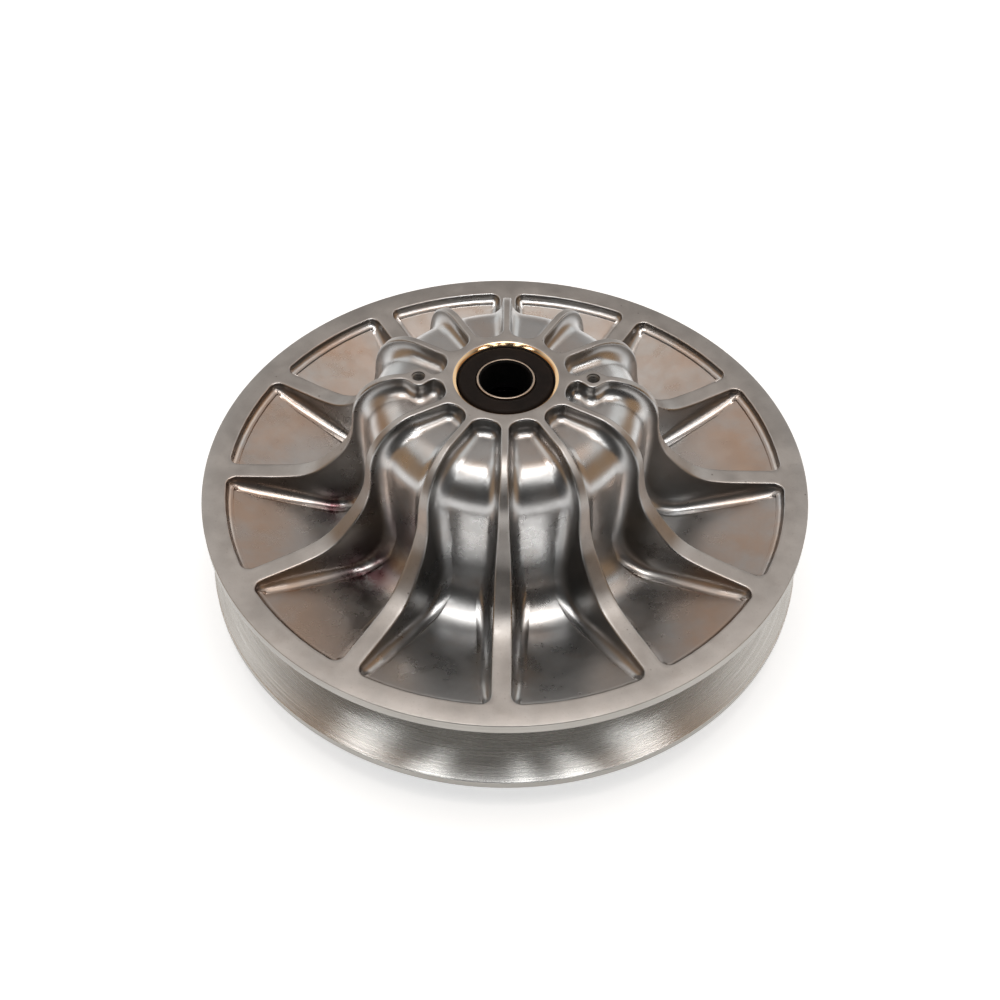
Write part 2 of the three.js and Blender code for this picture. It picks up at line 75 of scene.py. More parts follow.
SHEAVE_R = SHEAVE_HIGH.x
HUB_TOP = SHEAVE_HIGH.z
RIM_TOP = HUB_TOP - 60 * MM
RIM_HEIGHT = 4.8 * MM
UPPER_RIM = RIM_TOP - RIM_HEIGHT
BELT_WIDTH = 37.2 * MM
LOWER_RIM = UPPER_RIM - BELT_WIDTH
RIM_BOTTOM = LOWER_RIM - 3.86 * MM
GROOVE_HALF_ANGLE = math.radians(14)
FACE_SLOPE = math.tan(GROOVE_HALF_ANGLE)
FACE_INNER_R = 67 * MM

RIBS = 12
SECTOR = TAU / RIBS
POCKET_OUTER_R = 127.25 * MM
POCKET_INNER_R = 26 * MM
POCKET_DEPTH = 7 * MM
FLOOR_TOP = HUB_TOP - POCKET_DEPTH
PLATE_THICKNESS = 3.6 * MM
WALL_R = 60.4 * MM
SHOULDER_R = 17 * MM
FOOT_R = 18 * MM
CAVITY_R = 55 * MM
CAVITY_TOP = FLOOR_TOP - 5 * MM
TAPPED_CIRCLE_R = 37.35 * MM
BOSS_R = 4.9 * MM
BOSS_SPREAD = 4.6 * MM
TAPPED_R = 2.5 * MM
SEAL_BORE_R = 21 * MM
SEAL_CHAMFER_R = 22.8 * MM
SEAL_CHAMFER_DEPTH = 1.2 * MM


# ---------------------------------------------------------------- small tools

def new_object(name, vertices, faces, materials, face_slots=None, smooth=True):
    mesh = bpy.data.meshes.new(name)
    mesh.from_pydata([tuple(v) for v in vertices], [], [tuple(f) for f in faces])
    for material in materials:
        mesh.materials.append(material)
    if face_slots is not None:
        mesh.polygons.foreach_set("material_index", np.array(face_slots, dtype=np.int32))
    mesh.polygons.foreach_set("use_smooth", [smooth] * len(mesh.polygons))
    mesh.validate()
    mesh.update()
    obj = bpy.data.objects.new(name, mesh)
    bpy.context.scene.collection.objects.link(obj)
    return obj


def weld(obj, distance=1e-6):
    work = bmesh.new()
    work.from_mesh(obj.data)
    bmesh.ops.remove_doubles(work, verts=work.verts, dist=distance)
    bmesh.ops.dissolve_degenerate(work, edges=work.edges, dist=distance)
    bmesh.ops.recalc_face_normals(work, faces=work.faces)
    work.to_mesh(obj.data)
    work.free()


def sharpen(obj, angle=35):
    """Marks the edges that are sharper than the angle, so that smooth shading stops there."""
    limit = math.radians(angle)
    work = bmesh.new()
    work.from_mesh(obj.data)
    for edge in work.edges:
        edge.smooth = len(edge.link_faces) != 2 or edge.calc_face_angle(0.0) < limit
    work.to_mesh(obj.data)
    work.free()


def bend(before, here, after, radius, steps):
    """Points of a small curve that takes the place of a corner."""
    before, here, after = Vector(before), Vector(here), Vector(after)
    reach = min(radius, 0.4 * (before - here).length, 0.4 * (after - here).length)
    start = here + (before - here).normalized() * reach
    end = here + (after - here).normalized() * reach
    curve = []
    for k in range(steps + 1):
        t = k / steps
        point = start * (1 - t) ** 2 + here * 2 * t * (1 - t) + end * t ** 2
        curve.append((point.x, point.y))
    return curve


def rounded(profile, radius, steps=3):
    """A closed profile of (radius, height) points with each corner rounded."""
    points = []
    for i, here in enumerate(profile):
        points += bend(profile[i - 1], here, profile[(i + 1) % len(profile)], radius, steps)
    return points


def turned_points(profile, columns):
    """The (radius, height) points of a profile, repeated round +Z."""
    return [
        (radius * math.cos(angle), radius * math.sin(angle), height)
        for angle in TAU * np.arange(columns) / columns
        for radius, height in profile
    ]


def turned_faces(columns, rows, base=0, open_rows=False, open_columns=False):
    """Faces between columns of points. Rows and columns run on to their start, unless they are open."""
    faces = []
    for column in range(columns - open_columns):
        here = base + column * rows
        after = base + (column + 1) % columns * rows
        for row in range(rows - open_rows):
            below = (row + 1) % rows
            faces.append((here + row, after + row, after + below, here + below))
    return faces


def lathe(name, profile, material, columns=128, corner=0.3 * MM, place=Matrix.Identity(4)):
    """A ring turned about +Z from a closed profile, then set in its place."""
    outline = rounded(profile, corner)
    vertices = [place @ Vector(point) for point in turned_points(outline, columns)]
    obj = new_object(name, vertices, turned_faces(columns, len(outline)), [material])
    weld(obj)
    sharpen(obj)
    return obj


def face_height(radius, side):
    """Height of the belt face at a radius, on the upper (+1) or the lower (-1) sheave."""
    rim = UPPER_RIM if side > 0 else LOWER_RIM
    return rim - side * (SHEAVE_R - radius) * FACE_SLOPE


def arc(centre, radius, start, end, steps):
    return [
        (centre[0] + radius * math.cos(a), centre[1] + radius * math.sin(a))
        for a in np.linspace(start, end, steps)
    ]


def spline(points, steps):
    """A smooth curve through the points, with even spacing along its length."""
    points = np.array(points)
    padded = np.vstack([2 * points[0] - points[1], points, 2 * points[-1] - points[-2]])
    fine = []
    for i in range(len(points) - 1):
        p0, p1, p2, p3 = padded[i:i + 4]
        for t in np.linspace(0, 1, 24, endpoint=False):
            fine.append(0.5 * (
                2 * p1 + (p2 - p0) * t
                + (2 * p0 - 5 * p1 + 4 * p2 - p3) * t ** 2
                + (3 * p1 - p0 - 3 * p2 + p3) * t ** 3
            ))
    fine.append(points[-1])
    return evenly(np.array(fine), steps)


def evenly(points, steps):
    length = np.concatenate([[0], np.cumsum(np.linalg.norm(np.diff(points, axis=0), axis=1))])
    at = np.linspace(0, length[-1], steps)
    return np.stack([np.interp(at, length, points[:, 0]), np.interp(at, length, points[:, 1])], 1)


def blur(values, passes):
    """Evens out a list of values a little, keeping its ends."""
    values = values.copy()
    for _ in range(passes):
        values[1:-1] = (values[:-2] + 2 * values[1:-1] + values[2:]) / 4
    return values


# ---------------------------------------------------------------- ribbed sheave surface

FILLET_RADII = (32 * MM, 50 * MM)
WALL_DRAFT = math.radians(6)
MIN_CORNER = 0.5 * MM


class RibbedSide:
    """The ribbed side of a sheave: a crest line, a floor line under it and the pockets between the ribs.

    Places on it are given by the way along the crest line from the pocket's outer end, the angle round
    the axis and the depth under the crest."""

    SIDE_ARC = 7
    SIDE_STRAIGHT = 78
    END_STRAIGHT = 6
    TOP_STEPS = 4
    WALL_STEPS = 4
    BOTTOM_STEPS = 7

    def __init__(self, crest, floor, half_width, corner, fillets, edge_round, bosses=(), flip=1):
        self.crest = evenly(np.array(crest), 600)
        self.floor = evenly(np.array(floor), 3000)
        steps = np.linalg.norm(np.diff(self.crest, axis=0), axis=1)
        self.way = np.concatenate([[0], np.cumsum(steps)])
        tangent = np.gradient(self.crest, self.way, axis=0)
        tangent[:, 0] = blur(tangent[:, 0], 40)
        tangent[:, 1] = blur(tangent[:, 1], 40)
        tangent /= np.linalg.norm(tangent, axis=1)[:, None]
        self.inward = flip * np.stack([-tangent[:, 1], tangent[:, 0]], 1)
        self.depth = blur(self._depths(tangent), 12)
        self.half_width = half_width
        self.corner = corner
        self.fillets = fillets
        self.edge_round = edge_round
        self.bosses = bosses
        self.flip = flip

    def _depths(self, tangent):
        depths = []
        for point, along, into in zip(self.crest, tangent, self.inward):
            offset = self.floor - point
            slip = offset @ along
            drop = offset @ into
            good = (np.abs(slip) < 0.15 * MM) & (drop > 0)
            depths.append(drop[good].min() if good.any() else np.nan)
        depths = np.array(depths)
        known = ~np.isnan(depths)
        return np.interp(self.way, self.way[known], depths[known])

    def at(self, way, values):
        return np.interp(way, self.way, values)

    def point(self, way, depth):
        radius = self.at(way, self.crest[:, 0]) + depth * self.at(way, self.inward[:, 0])
        height = self.at(way, self.crest[:, 1]) + depth * self.at(way, self.inward[:, 1])
        return radius, height

    def rib_edge(self, way, rib):
        """Distance from the middle of a rib to the edge of its crest."""
        radius = self.at(way, self.crest[:, 0])
        height = self.at(way, self.crest[:, 1])
        width = self.half_width(radius, height)
        if rib % RIBS in self.bosses:
            boss = BOSS_R * np.exp(-((radius - TAPPED_CIRCLE_R) / BOSS_SPREAD) ** 2)
            width = smooth_max(width, boss, 1.0 * MM)
        return width

    def section(self, way):
        """Inward run and depth of the pocket's side, from the crest's edge to the floor."""
        depth = self.at(way, self.depth)
        radius = self.at(way, self.crest[:, 0])
        top = min(self.edge_round, 0.2 * depth)
        bottom = min(np.interp(radius, FILLET_RADII, self.fillets), 0.78 * depth)
        rows = []
        for k in range(self.TOP_STEPS + 1):
            a = 0.47 * math.pi * k / self.TOP_STEPS
            rows.append((top * math.sin(a), top * (1 - math.cos(a))))
        run, drop = rows[-1]
        wall = max(depth - bottom - drop, 0)
        draft = math.tan(WALL_DRAFT)
        for k in range(1, self.WALL_STEPS + 1):
            rows.append((run + wall * draft * k / self.WALL_STEPS, drop + wall * k / self.WALL_STEPS))
        run, drop = rows[-1]
        for k in range(1, self.BOTTOM_STEPS + 1):
            a = 0.5 * math.pi * k / self.BOTTOM_STEPS
            rows.append((run + bottom * (1 - math.cos(a)), drop + bottom * math.sin(a)))
        return rows

    def shade(self, step):
        """How high on the pocket's side a step of its section lies, which sets the painted shade on the
        pocket's walls.
        """
        if step < 0:
            return 0.0
        if step <= self.TOP_STEPS:
            return step / self.TOP_STEPS
        below = (step - self.TOP_STEPS - self.WALL_STEPS) / self.BOTTOM_STEPS
        return 1.0 if below <= 0 else max(1 - 1.8 * below, 0.0)

    def ring_places(self):
        """Where the points of a ring lie: (side, corner angle or share of the straight part)."""
        quarter = 0.25 * math.pi
        rising = [quarter + quarter * k / self.SIDE_ARC for k in range(self.SIDE_ARC)]
        side = [("near", a) for a in rising]
        side += [("straight", k / self.SIDE_STRAIGHT) for k in range(self.SIDE_STRAIGHT + 1)]
        side += [("far", a) for a in reversed(rising)]
        falling = [quarter * (1 - k / self.SIDE_ARC) for k in range(self.SIDE_ARC + 1)]
        end = [("arc", a) for a in falling]
        end += [("straight", k / self.END_STRAIGHT) for k in range(1, self.END_STRAIGHT)]
        end += [("arc_back", a) for a in reversed(falling)]
        return side, end

    def ring(self, left, right, step):
        """One ring round a pocket, as way, angle and depth of each point."""
        side, end = self.ring_places()
        total = self.way[-1]

        def angle_off(rib, way, run, inset, drop):
            """Angle between the middle of a rib and a place beside it."""
            radius, _ = self.point(way, drop)
            lateral = self.rib_edge(way, rib) + run + inset
            return math.asin(min(lateral / radius, 0.9))

        def side_points(rib):
            places = []
            for kind, value in side:
                straight = kind == "straight"
                into = self.corner if straight else self.corner * (1 - math.cos(value))
                start = into + (total - 2 * into) * value if straight else into
                run, drop = self.section(total - start if kind == "far" else start)[step]
                corner = max(self.corner - run, MIN_CORNER)
                if straight:
                    way = run + corner + (total - 2 * (run + corner)) * value
                    inset = 0.0
                else:
                    way = run + corner * (1 - math.cos(value))
                    way = total - way if kind == "far" else way
                    inset = corner * (1 - math.sin(value))
                places.append((way, angle_off(rib, way, run, inset, drop), drop))
            return places

        def end_points(far):
            run, drop = self.section(total if far else 0.0)[step]
            corner = max(self.corner - run, MIN_CORNER)
            edge_way = total - run if far else run
            starts = [angle_off(rib, edge_way, run, corner, drop) for rib in (left, right)]
            places = []
            for kind, value in end:
                if kind == "straight":
                    way = edge_way
                    angle = starts[0] + (SECTOR - starts[1] - starts[0]) * value
                else:
                    way = run + corner * (1 - math.cos(value))
                    way = total - way if far else way
                    inset = corner * (1 - math.sin(value))
                    angle = angle_off(left if kind == "arc" else right, way, run, inset, drop)
                    angle = angle if kind == "arc" else SECTOR - angle
                places.append((way, angle, drop))
            return places

        right_side = [(way, SECTOR - angle, drop) for way, angle, drop in side_points(right)]
        return side_points(left), end_points(True), right_side, end_points(False)

    def boundary(self, share, outline, outer_way, inner_way):
        """A ring on the crest, between the pocket's outline (share 0) and the sector's edge (share 1)."""
        left, far, right, near = outline

        def side_ring(points, edge):
            ways = np.array([p[0] for p in points])
            spread = (ways - ways[0]) / (ways[-1] - ways[0])
            edge_way = outer_way + (inner_way - outer_way) * spread
            ring = []
            for (way, angle, _), goal in zip(points, edge_way):
                ring.append((way + (goal - way) * share, angle + (edge - angle) * share, 0.0))
            return ring

        def end_ring(points, goal):
            ring = []
            count = len(points) - 1
            for k, (way, angle, _) in enumerate(points):
                ring.append((way + (goal - way) * share, angle + (SECTOR * k / count - angle) * share, 0.0))
            return ring

        return (
            side_ring(left, 0.0), end_ring(far, inner_way),
            side_ring(right, SECTOR), end_ring(near, outer_way),
        )


def smooth_max(a, b, reach):
    """The larger of two lengths, blended where they are close."""
    h = np.clip(0.5 + 0.5 * (a - b) / reach, 0, 1)
    return b + (a - b) * h + reach * h * (1 - h)


CREST_SLOT, POCKET_SLOT, BELT_SLOT, BORE_SLOT, INSIDE_SLOT, EDGE_SLOT = range(6)


def ribbed_mesh(side, outer_way, inner_way):
    """Vertices, faces, material slots and wall shades of a whole ribbed side, sector by sector.

    A vertex's shade says how high it is on a pocket's side: 1 by the crest, 0 on the floor. The pocket's
    material paints shade on the side walls from it."""
    extended = np.concatenate([[outer_way], side.way, [inner_way]])
    first = side.crest[0] + (side.crest[0] - side.crest[1]) / side.way[1] * -outer_way
    last = side.crest[-1] + (side.crest[-1] - side.crest[-2]) / (side.way[-1] - side.way[-2]) * (
        inner_way - side.way[-1])
    crest = np.vstack([first, side.crest, last])
    inward = np.vstack([side.inward[:1], side.inward, side.inward[-1:]])

    def place(way, angle, depth):
        radius = np.interp(way, extended, crest[:, 0]) + depth * np.interp(way, extended, inward[:, 0])
        height = np.interp(way, extended, crest[:, 1]) + depth * np.interp(way, extended, inward[:, 1])
        return radius * math.cos(angle), radius * math.sin(angle), height

    vertices, faces, slots, shades = [], [], [], []
    steps = side.TOP_STEPS + 1 + side.WALL_STEPS + side.BOTTOM_STEPS
    for sector in range(RIBS):
        rings = []
        outline = side.ring(sector, sector + 1, 0)
        for share in (1.0, 0.66, 0.33):
            rings.append(side.boundary(share, outline, outer_way, inner_way))
        crest_rings = len(rings)
        for step in range(steps):
            rings.append(side.ring(sector, sector + 1, step))
        turn = sector * SECTOR
        first_vertex = len(vertices)
        loops = []
        for number, (left, far, right, near) in enumerate(rings):
            loop = list(left) + list(far)[1:] + list(reversed(right))[1:] + list(reversed(near))[1:-1]
            loops.append(loop)
            vertices.extend(place(way, angle + turn, depth) for way, angle, depth in loop)
            shades.extend([side.shade(number - crest_rings)] * len(loop))
        size = len(loops[0])
        for ring in range(len(loops) - 1):
            for k in range(size):
                after = (k + 1) % size
                a = first_vertex + ring * size + k
                b = first_vertex + ring * size + after
                faces.append((a, b, b + size, a + size))
                slots.append(CREST_SLOT if ring < crest_rings + 1 else POCKET_SLOT)
        left, far, right, near = rings[-1]
        rows, columns = len(left), len(far)
        grid = np.zeros((rows, columns, 3))
        left, right, near, far = (np.array(part) for part in (left, right, near, far))
        for i in range(rows):
            u = i / (rows - 1)
            for j in range(columns):
                v = j / (columns - 1)
                straight = (1 - v) * left[i] + v * right[i]
                across = (1 - u) * near[j] + u * far[j]
                corners = (
                    (1 - u) * (1 - v) * left[0] + (1 - u) * v * right[0]
                    + u * (1 - v) * left[-1] + u * v * right[-1]
                )
                grid[i, j] = straight + across - corners
        grid[:, :, 2] = side.at(grid[:, :, 0], side.depth)
        grid[0], grid[-1] = near, far
        grid[:, 0], grid[:, -1] = left, right
        floor_start = len(vertices)
        vertices.extend(place(way, angle + turn, depth) for way, angle, depth in grid.reshape(-1, 3))
        shades.extend([0.0] * (rows * columns))
        for i in range(rows - 1):
            for j in range(columns - 1):
                a = floor_start + i * columns + j
                faces.append((a, a + columns, a + columns + 1, a + 1))
                slots.append(POCKET_SLOT)
    return vertices, faces, slots, shades


def sheave_object(name, side, outer_way, inner_way, rest, rest_slots, materials):
    """A sheave: its ribbed side, and the rest of its profile as plain turned rows.

    rest runs from the ribbed side's inner edge round to its outer edge; rest_slots holds the material
    slot of each stretch between its points."""
    vertices, faces, slots, shades = ribbed_mesh(side, outer_way, inner_way)
    per_sector = len(side.ring_places()[1]) - 1
    columns = RIBS * per_sector
    faces += turned_faces(columns, len(rest), base=len(vertices), open_rows=True)
    vertices += turned_points(rest, columns)
    slots += rest_slots * columns
    shades += [0.0] * (len(vertices) - len(shades))
    obj = new_object(name, vertices, faces, materials, slots)
    # wall: how high each vertex is on a pocket's side, which the pocket's material turns into painted shade
    wall = obj.data.attributes.new("wall", "FLOAT", "POINT")
    wall.data.foreach_set("value", shades)
    weld(obj, 2e-6)
    return obj


def round_rest(points, slots, radius, steps=3):
    """Rounds the inner corners of an open run of points, and repeats their slots to match."""
    new_points = [points[0]]
    new_slots = []
    for i in range(1, len(points) - 1):
        new_points += bend(*points[i - 1:i + 2], radius, steps)
        new_slots.append(slots[i - 1])
        new_slots += [slots[i - 1] if k < steps / 2 else slots[i] for k in range(steps)]
    return new_points + [points[-1]], new_slots + [slots[-1]]


def joined(name, solids, materials, smooth=True):
    """One object from several (vertices, faces) pairs."""
    vertices, faces = [], []
    for some_vertices, some_faces in solids:
        base = len(vertices)
        vertices.extend(some_vertices)
        faces.extend(tuple(i + base for i in face) for face in some_faces)
    return new_object(name, vertices, faces, materials, smooth=smooth)


def combine(obj, other, operation):
    """Joins another object to obj, or cuts it out, with an exact boolean, and removes it."""
    modifier = obj.modifiers.new("combine", "BOOLEAN")
    modifier.operation = operation
    modifier.solver = "EXACT"
    modifier.object = other
    depsgraph = bpy.context.evaluated_depsgraph_get()
    mesh = bpy.data.meshes.new_from_object(obj.evaluated_get(depsgraph))
    obj.modifiers.clear()
    obj.data = mesh
    bpy.data.objects.remove(other)


def cut(obj, solids, material, smooth=True):
    """Cuts solids out of obj. The walls of the cuts get the material."""
    combine(obj, joined("cutter", solids, [material], smooth=smooth), "DIFFERENCE")


# ---------------------------------------------------------------- materials

class Tree:
    """A node tree, with short calls for adding nodes and linking them."""

    def __init__(self, tree):
        self.tree = tree

    def node(self, kind, **inputs):
        node = self.tree.nodes.new("ShaderNode" + kind)
        for name, value in inputs.items():
            self.give(node.inputs[name.replace("_", " ")], value)
        return node

    def give(self, socket, value):
        """Sets a socket to a number, a colour or a place, or links it to another node's socket."""
        if isinstance(value, bpy.types.NodeSocket):
            self.tree.links.new(value, socket)
        elif isinstance(value, tuple) and socket.type == "RGBA":
            socket.default_value = (*value, 1.0)
        else:
            socket.default_value = value

    def math(self, operation, *values):
        node = self.node("Math")
        node.operation = operation
        for socket, value in zip(node.inputs, values):
            self.give(socket, value)
        return node.outputs[0]

    def ramp(self, source, low, high, first=0.0, last=1.0, smooth=False):
        """From first to last as the source goes from low to high."""
        node = self.node("MapRange", Value=source, From_Min=low, From_Max=high, To_Min=first, To_Max=last)
        if smooth:
            node.interpolation_type = "SMOOTHSTEP"
        return node.outputs["Result"]

    def mix(self, share, first, second):
        node = self.node("Mix")
        node.data_type = "RGBA"
        for place, value in (("Factor", share), (6, first), (7, second)):
            self.give(node.inputs[place], value)
        return node.outputs[2]


class Nodes(Tree):
    """A material's node tree, with short calls for the nodes that these finishes are made of."""

    def __init__(self, name, **settings):
        self.material = bpy.data.materials.new(name)
        self.material.use_nodes = True
        super().__init__(self.material.node_tree)
        self.shader = self.tree.nodes["Principled BSDF"]
        self.coordinates = self.node("TexCoord").outputs["Object"]
        self.feed(**settings)

    def feed(self, **inputs):
        """Gives the shader's inputs their values or sources."""
        for name, value in inputs.items():
            self.give(self.shader.inputs[name.replace("_", " ")], value)

    def noise(self, scale, detail=4, roughness=0.6, distortion=0.0, vector=None):
        node = self.node("TexNoise", Scale=scale, Detail=detail, Roughness=roughness, Distortion=distortion)
        self.give(node.inputs["Vector"], vector or self.coordinates)
        return node.outputs["Fac"]

    def cloud(self, scale, detail=4, low=0.35, high=0.65, distortion=0.0):
        """Soft patches: a noise that goes from 0 to 1 between two of its levels."""
        return self.ramp(self.noise(scale, detail=detail, distortion=distortion), low, high)

    def cells(self, scale):
        return self.node("TexVoronoi", Scale=scale, Vector=self.coordinates).outputs["Distance"]

    def split(self):
        return self.node("SeparateXYZ", Vector=self.coordinates).outputs

    def radius(self):
        """Distance from the pulley's axis."""
        x, y, _ = self.split()
        return self.math("SQRT", self.math("ADD", self.math("MULTIPLY", x, x), self.math("MULTIPLY", y, y)))

    def ring_vector(self, around):
        """Coordinates of (radius, height, a little of the angle), for marks that run round the axis."""
        x, y, z = self.split()
        angle = self.math("MULTIPLY", self.math("ARCTAN2", y, x), around)
        return self.node("CombineXYZ", X=self.radius(), Y=z, Z=angle).outputs[0]

    def rings(self, around, scale, detail=2, roughness=0.5):
        """A noise whose marks run round the axis."""
        return self.noise(scale, detail, roughness, vector=self.ring_vector(around))

    def bump(self, height, distance, strength=1.0, under=None):
        node = self.node("Bump", Strength=strength, Distance=distance, Height=height)
        if under is not None:
            self.give(node.inputs["Normal"], under)
        return node.outputs["Normal"]

    def near(self, place, reach):
        """From 1 at a place to 0 at the reach from it."""
        node = self.node("VectorMath")
        node.operation = "DISTANCE"
        self.give(node.inputs[0], self.coordinates)
        self.give(node.inputs[1], place)
        return self.ramp(node.outputs["Value"], 0.3 * reach, reach, 1.0, 0.0)

    def tint(self, colour, share, amount, over):
        """Lays a colour over another, by the amount where share is 1."""
        return self.mix(self.math("MULTIPLY", share, amount), colour, over)

    def attribute(self, name):
        node = self.node("Attribute")
        node.attribute_name = name
        return node.outputs["Fac"]


def crest_finish():
    """Satin, warm grey casting skin on the ribs' crests and the rim land."""
    n = Nodes("cast_crest", Metallic=1.0)
    pits = n.ramp(n.cells(260), 0.05, 0.16, 1.0, 0.0)
    colour = n.mix(n.cloud(38, 5), (0.400, 0.382, 0.368), (0.510, 0.488, 0.470))
    colour = n.tint(colour, n.cloud(900, 3, 0.60, 0.72), 0.40, (0.30, 0.27, 0.25))
    colour = n.tint(colour, n.math("MULTIPLY", pits, n.cloud(60, 2, 0.58, 0.66)), 0.8, (0.12, 0.10, 0.09))
    normal = n.bump(n.noise(1600, detail=3, roughness=0.7), 0.05 * MM, 0.4)
    normal = n.bump(n.rings(0.03, 500, 3, 0.7), 0.03 * MM, 0.3, normal)
    n.feed(
        Base_Color=colour,
        Roughness=n.ramp(n.noise(120, detail=5), 0.3, 0.7, 0.37, 0.52),
        Normal=n.bump(pits, 0.04 * MM, 0.25, normal),
    )
    return n.material


def pocket_finish():
    """Smooth die-cast skin in the pockets: grey by the foot, with a copper-brown painted reflection further
    out at both sides and painted shade darkening the steep side walls.
    """
    n = Nodes("cast_pocket", Metallic=1.0)
    cloud = n.cloud(24, 5, 0.32, 0.68, distortion=0.2)
    mottle = n.cloud(110, 3)
    outer = n.ramp(n.radius(), 0.080, 0.112)
    to_side = n.ramp(n.math("ABSOLUTE", n.split()[0]), 0.030, 0.085)
    patches = n.cloud(20, 5, 0.36, 0.60, distortion=0.2)
    # painted reflection: copper-brown laid on the outer pockets at the left and right sides, where the metal
    # mirrors the brown surroundings; the patches break it up
    painted_side_reflection = n.math("MULTIPLY", n.math("MULTIPLY", outer, to_side), patches)
    colour = n.mix(cloud, (0.53, 0.54, 0.55), (0.69, 0.69, 0.69))
    colour = n.tint(colour, painted_side_reflection, 0.75, (0.66, 0.45, 0.32))
    colour = n.tint(colour, n.cloud(30, 4, 0.50, 0.70, distortion=0.2), 0.40, (0.56, 0.42, 0.33))
    for place, reach in OIL_STAINS:
        burnt = n.math("MULTIPLY", n.near(place, reach), n.cloud(90, 4, 0.36, 0.52))
        colour = n.tint(colour, burnt, 0.90, (0.13, 0.030, 0.040))
    # painted shade: darkens the pocket's side walls near the crest's edge, fading out down the fillets
    colour = n.tint(colour, n.attribute("wall"), 0.78, (0.15, 0.145, 0.14))
    colour = n.tint(colour, mottle, 0.14, (0.30, 0.29, 0.28))
    normal = n.bump(n.noise(70, detail=2), 0.4 * MM, 0.16)
    n.feed(
        Base_Color=colour,
        Roughness=n.math("ADD", n.ramp(cloud, 0, 1, 0.32, 0.22), n.math("MULTIPLY", mottle, 0.07)),
        Normal=n.bump(n.noise(900, detail=2), 0.02 * MM, 0.2, normal),
    )
    return n.material


def turned_finish(name, dark, light, roughness, groove, anisotropy=0.0, relief=0.5):
    """Metal turned on a lathe: fine grooves that run round the axis."""
    n = Nodes(name, Metallic=1.0)
    lines = n.rings(0.0008, 1.0 / groove, 3, 0.7)
    bands = n.rings(0.0008, 0.08 / groove)
    colour = n.mix(n.ramp(bands, 0.35, 0.65), dark, light)
    n.feed(
        Base_Color=n.tint(colour, n.cloud(30), 0.25, tuple(c * 0.72 for c in dark)),
        Roughness=n.ramp(lines, 0.3, 0.7, roughness * 0.8, roughness * 1.3),
        Normal=n.bump(lines, groove * 0.12, relief),
    )
    if anisotropy:
        tangent = n.node("Tangent")
        tangent.direction_type = "RADIAL"
        tangent.axis = "Z"
        n.feed(Anisotropic=anisotropy, Anisotropic_Rotation=0.25, Tangent=tangent.outputs[0])
    return n.material


def seal_finish():
    """Near-black, slightly brown rubber with faint moulding rings and dust."""
    n = Nodes("seal_rubber", Specular_IOR_Level=0.14)
    colour = n.mix(n.cloud(130), (0.006, 0.0035, 0.0025), (0.012, 0.007, 0.005))
    n.feed(
        Base_Color=n.tint(colour, n.cloud(1500, 3, 0.66, 0.76), 0.12, (0.08, 0.06, 0.05)),
        Roughness=n.ramp(n.noise(200, detail=3), 0.3, 0.7, 0.50, 0.68),
        Normal=n.bump(n.rings(0.002, 900), 0.04 * MM, 0.4),
    )
    return n.material


def mottled_finish(name, dark, light, cloud, wear, roughness, grain, relief, **settings):
    """An even finish: faint clouds of colour, patches of wear and a fine grain."""
    n = Nodes(name, **settings)
    n.feed(
        Base_Color=n.mix(n.cloud(cloud), dark, light),
        Roughness=n.ramp(n.noise(wear, detail=3), 0.3, 0.7, *roughness),
        Normal=n.bump(grain(n), *relief),
    )
    return n.material


STAIN_R, STAIN_Z = 76 * MM, 44.5 * MM
OIL_STAINS = [
    ((STAIN_R * math.cos(SECTOR * pocket), STAIN_R * math.sin(SECTOR * pocket), STAIN_Z), reach)
    for pocket, reach in ((6.2, 15 * MM), (7.27, 20 * MM))
]
CREST = crest_finish()
POCKET = pocket_finish()
BELT_FACE = turned_finish("belt_face", (0.80, 0.80, 0.79), (0.90, 0.90, 0.89), 0.26, 0.25 * MM, 1.0, 0.10)
# painted shade: a darker copy of the belt face's turned finish, for the upper sheave's face that looks down
# into the groove
SHADED_UPPER_FACE = turned_finish(
    "shaded_belt_face", (0.20, 0.19, 0.18), (0.30, 0.29, 0.27), 0.30, 0.25 * MM, 0.8, 0.2,
)
RIM_EDGE = turned_finish("rim_edge", (0.36, 0.345, 0.32), (0.46, 0.445, 0.42), 0.36, 0.2 * MM)
POLISHED = turned_finish("polished_chamfer", (0.86, 0.58, 0.32), (0.95, 0.68, 0.42), 0.10, 0.15 * MM)
SHADOWED_CAST = turned_finish("inner_casting", (0.36, 0.34, 0.32), (0.45, 0.43, 0.41), 0.45, 0.6 * MM)
STEEL = turned_finish("turned_steel", (0.40, 0.40, 0.41), (0.52, 0.52, 0.53), 0.30, 0.2 * MM)
BUSH = turned_finish("bush_metal", (0.62, 0.50, 0.40), (0.72, 0.60, 0.50), 0.34, 0.15 * MM)
SEAL = seal_finish()
# dark, shot-peened spring steel
SPRING = mottled_finish(
    "spring_steel", (0.045, 0.045, 0.05), (0.10, 0.10, 0.105), 90, 400, (0.38, 0.55),
    lambda n: n.cells(1500), (0.05 * MM, 0.4), Metallic=0.85,
)
# black low-friction lining of the upper bush
LINER = mottled_finish(
    "bush_liner", (0.004, 0.004, 0.004), (0.010, 0.009, 0.009), 200, 500, (0.6, 0.8),
    lambda n: n.noise(1200, detail=2), (0.03 * MM, 0.3), Specular_IOR_Level=0.1,
)
# cream moulded plastic of the cam rollers
PLASTIC = mottled_finish(
    "roller_plastic", (0.62, 0.56, 0.42), (0.72, 0.66, 0.52), 180, 500, (0.35, 0.5),
    lambda n: n.noise(900, detail=2), (0.03 * MM, 0.3), Subsurface_Weight=0.05,
)


# ---------------------------------------------------------------- the bell sheave

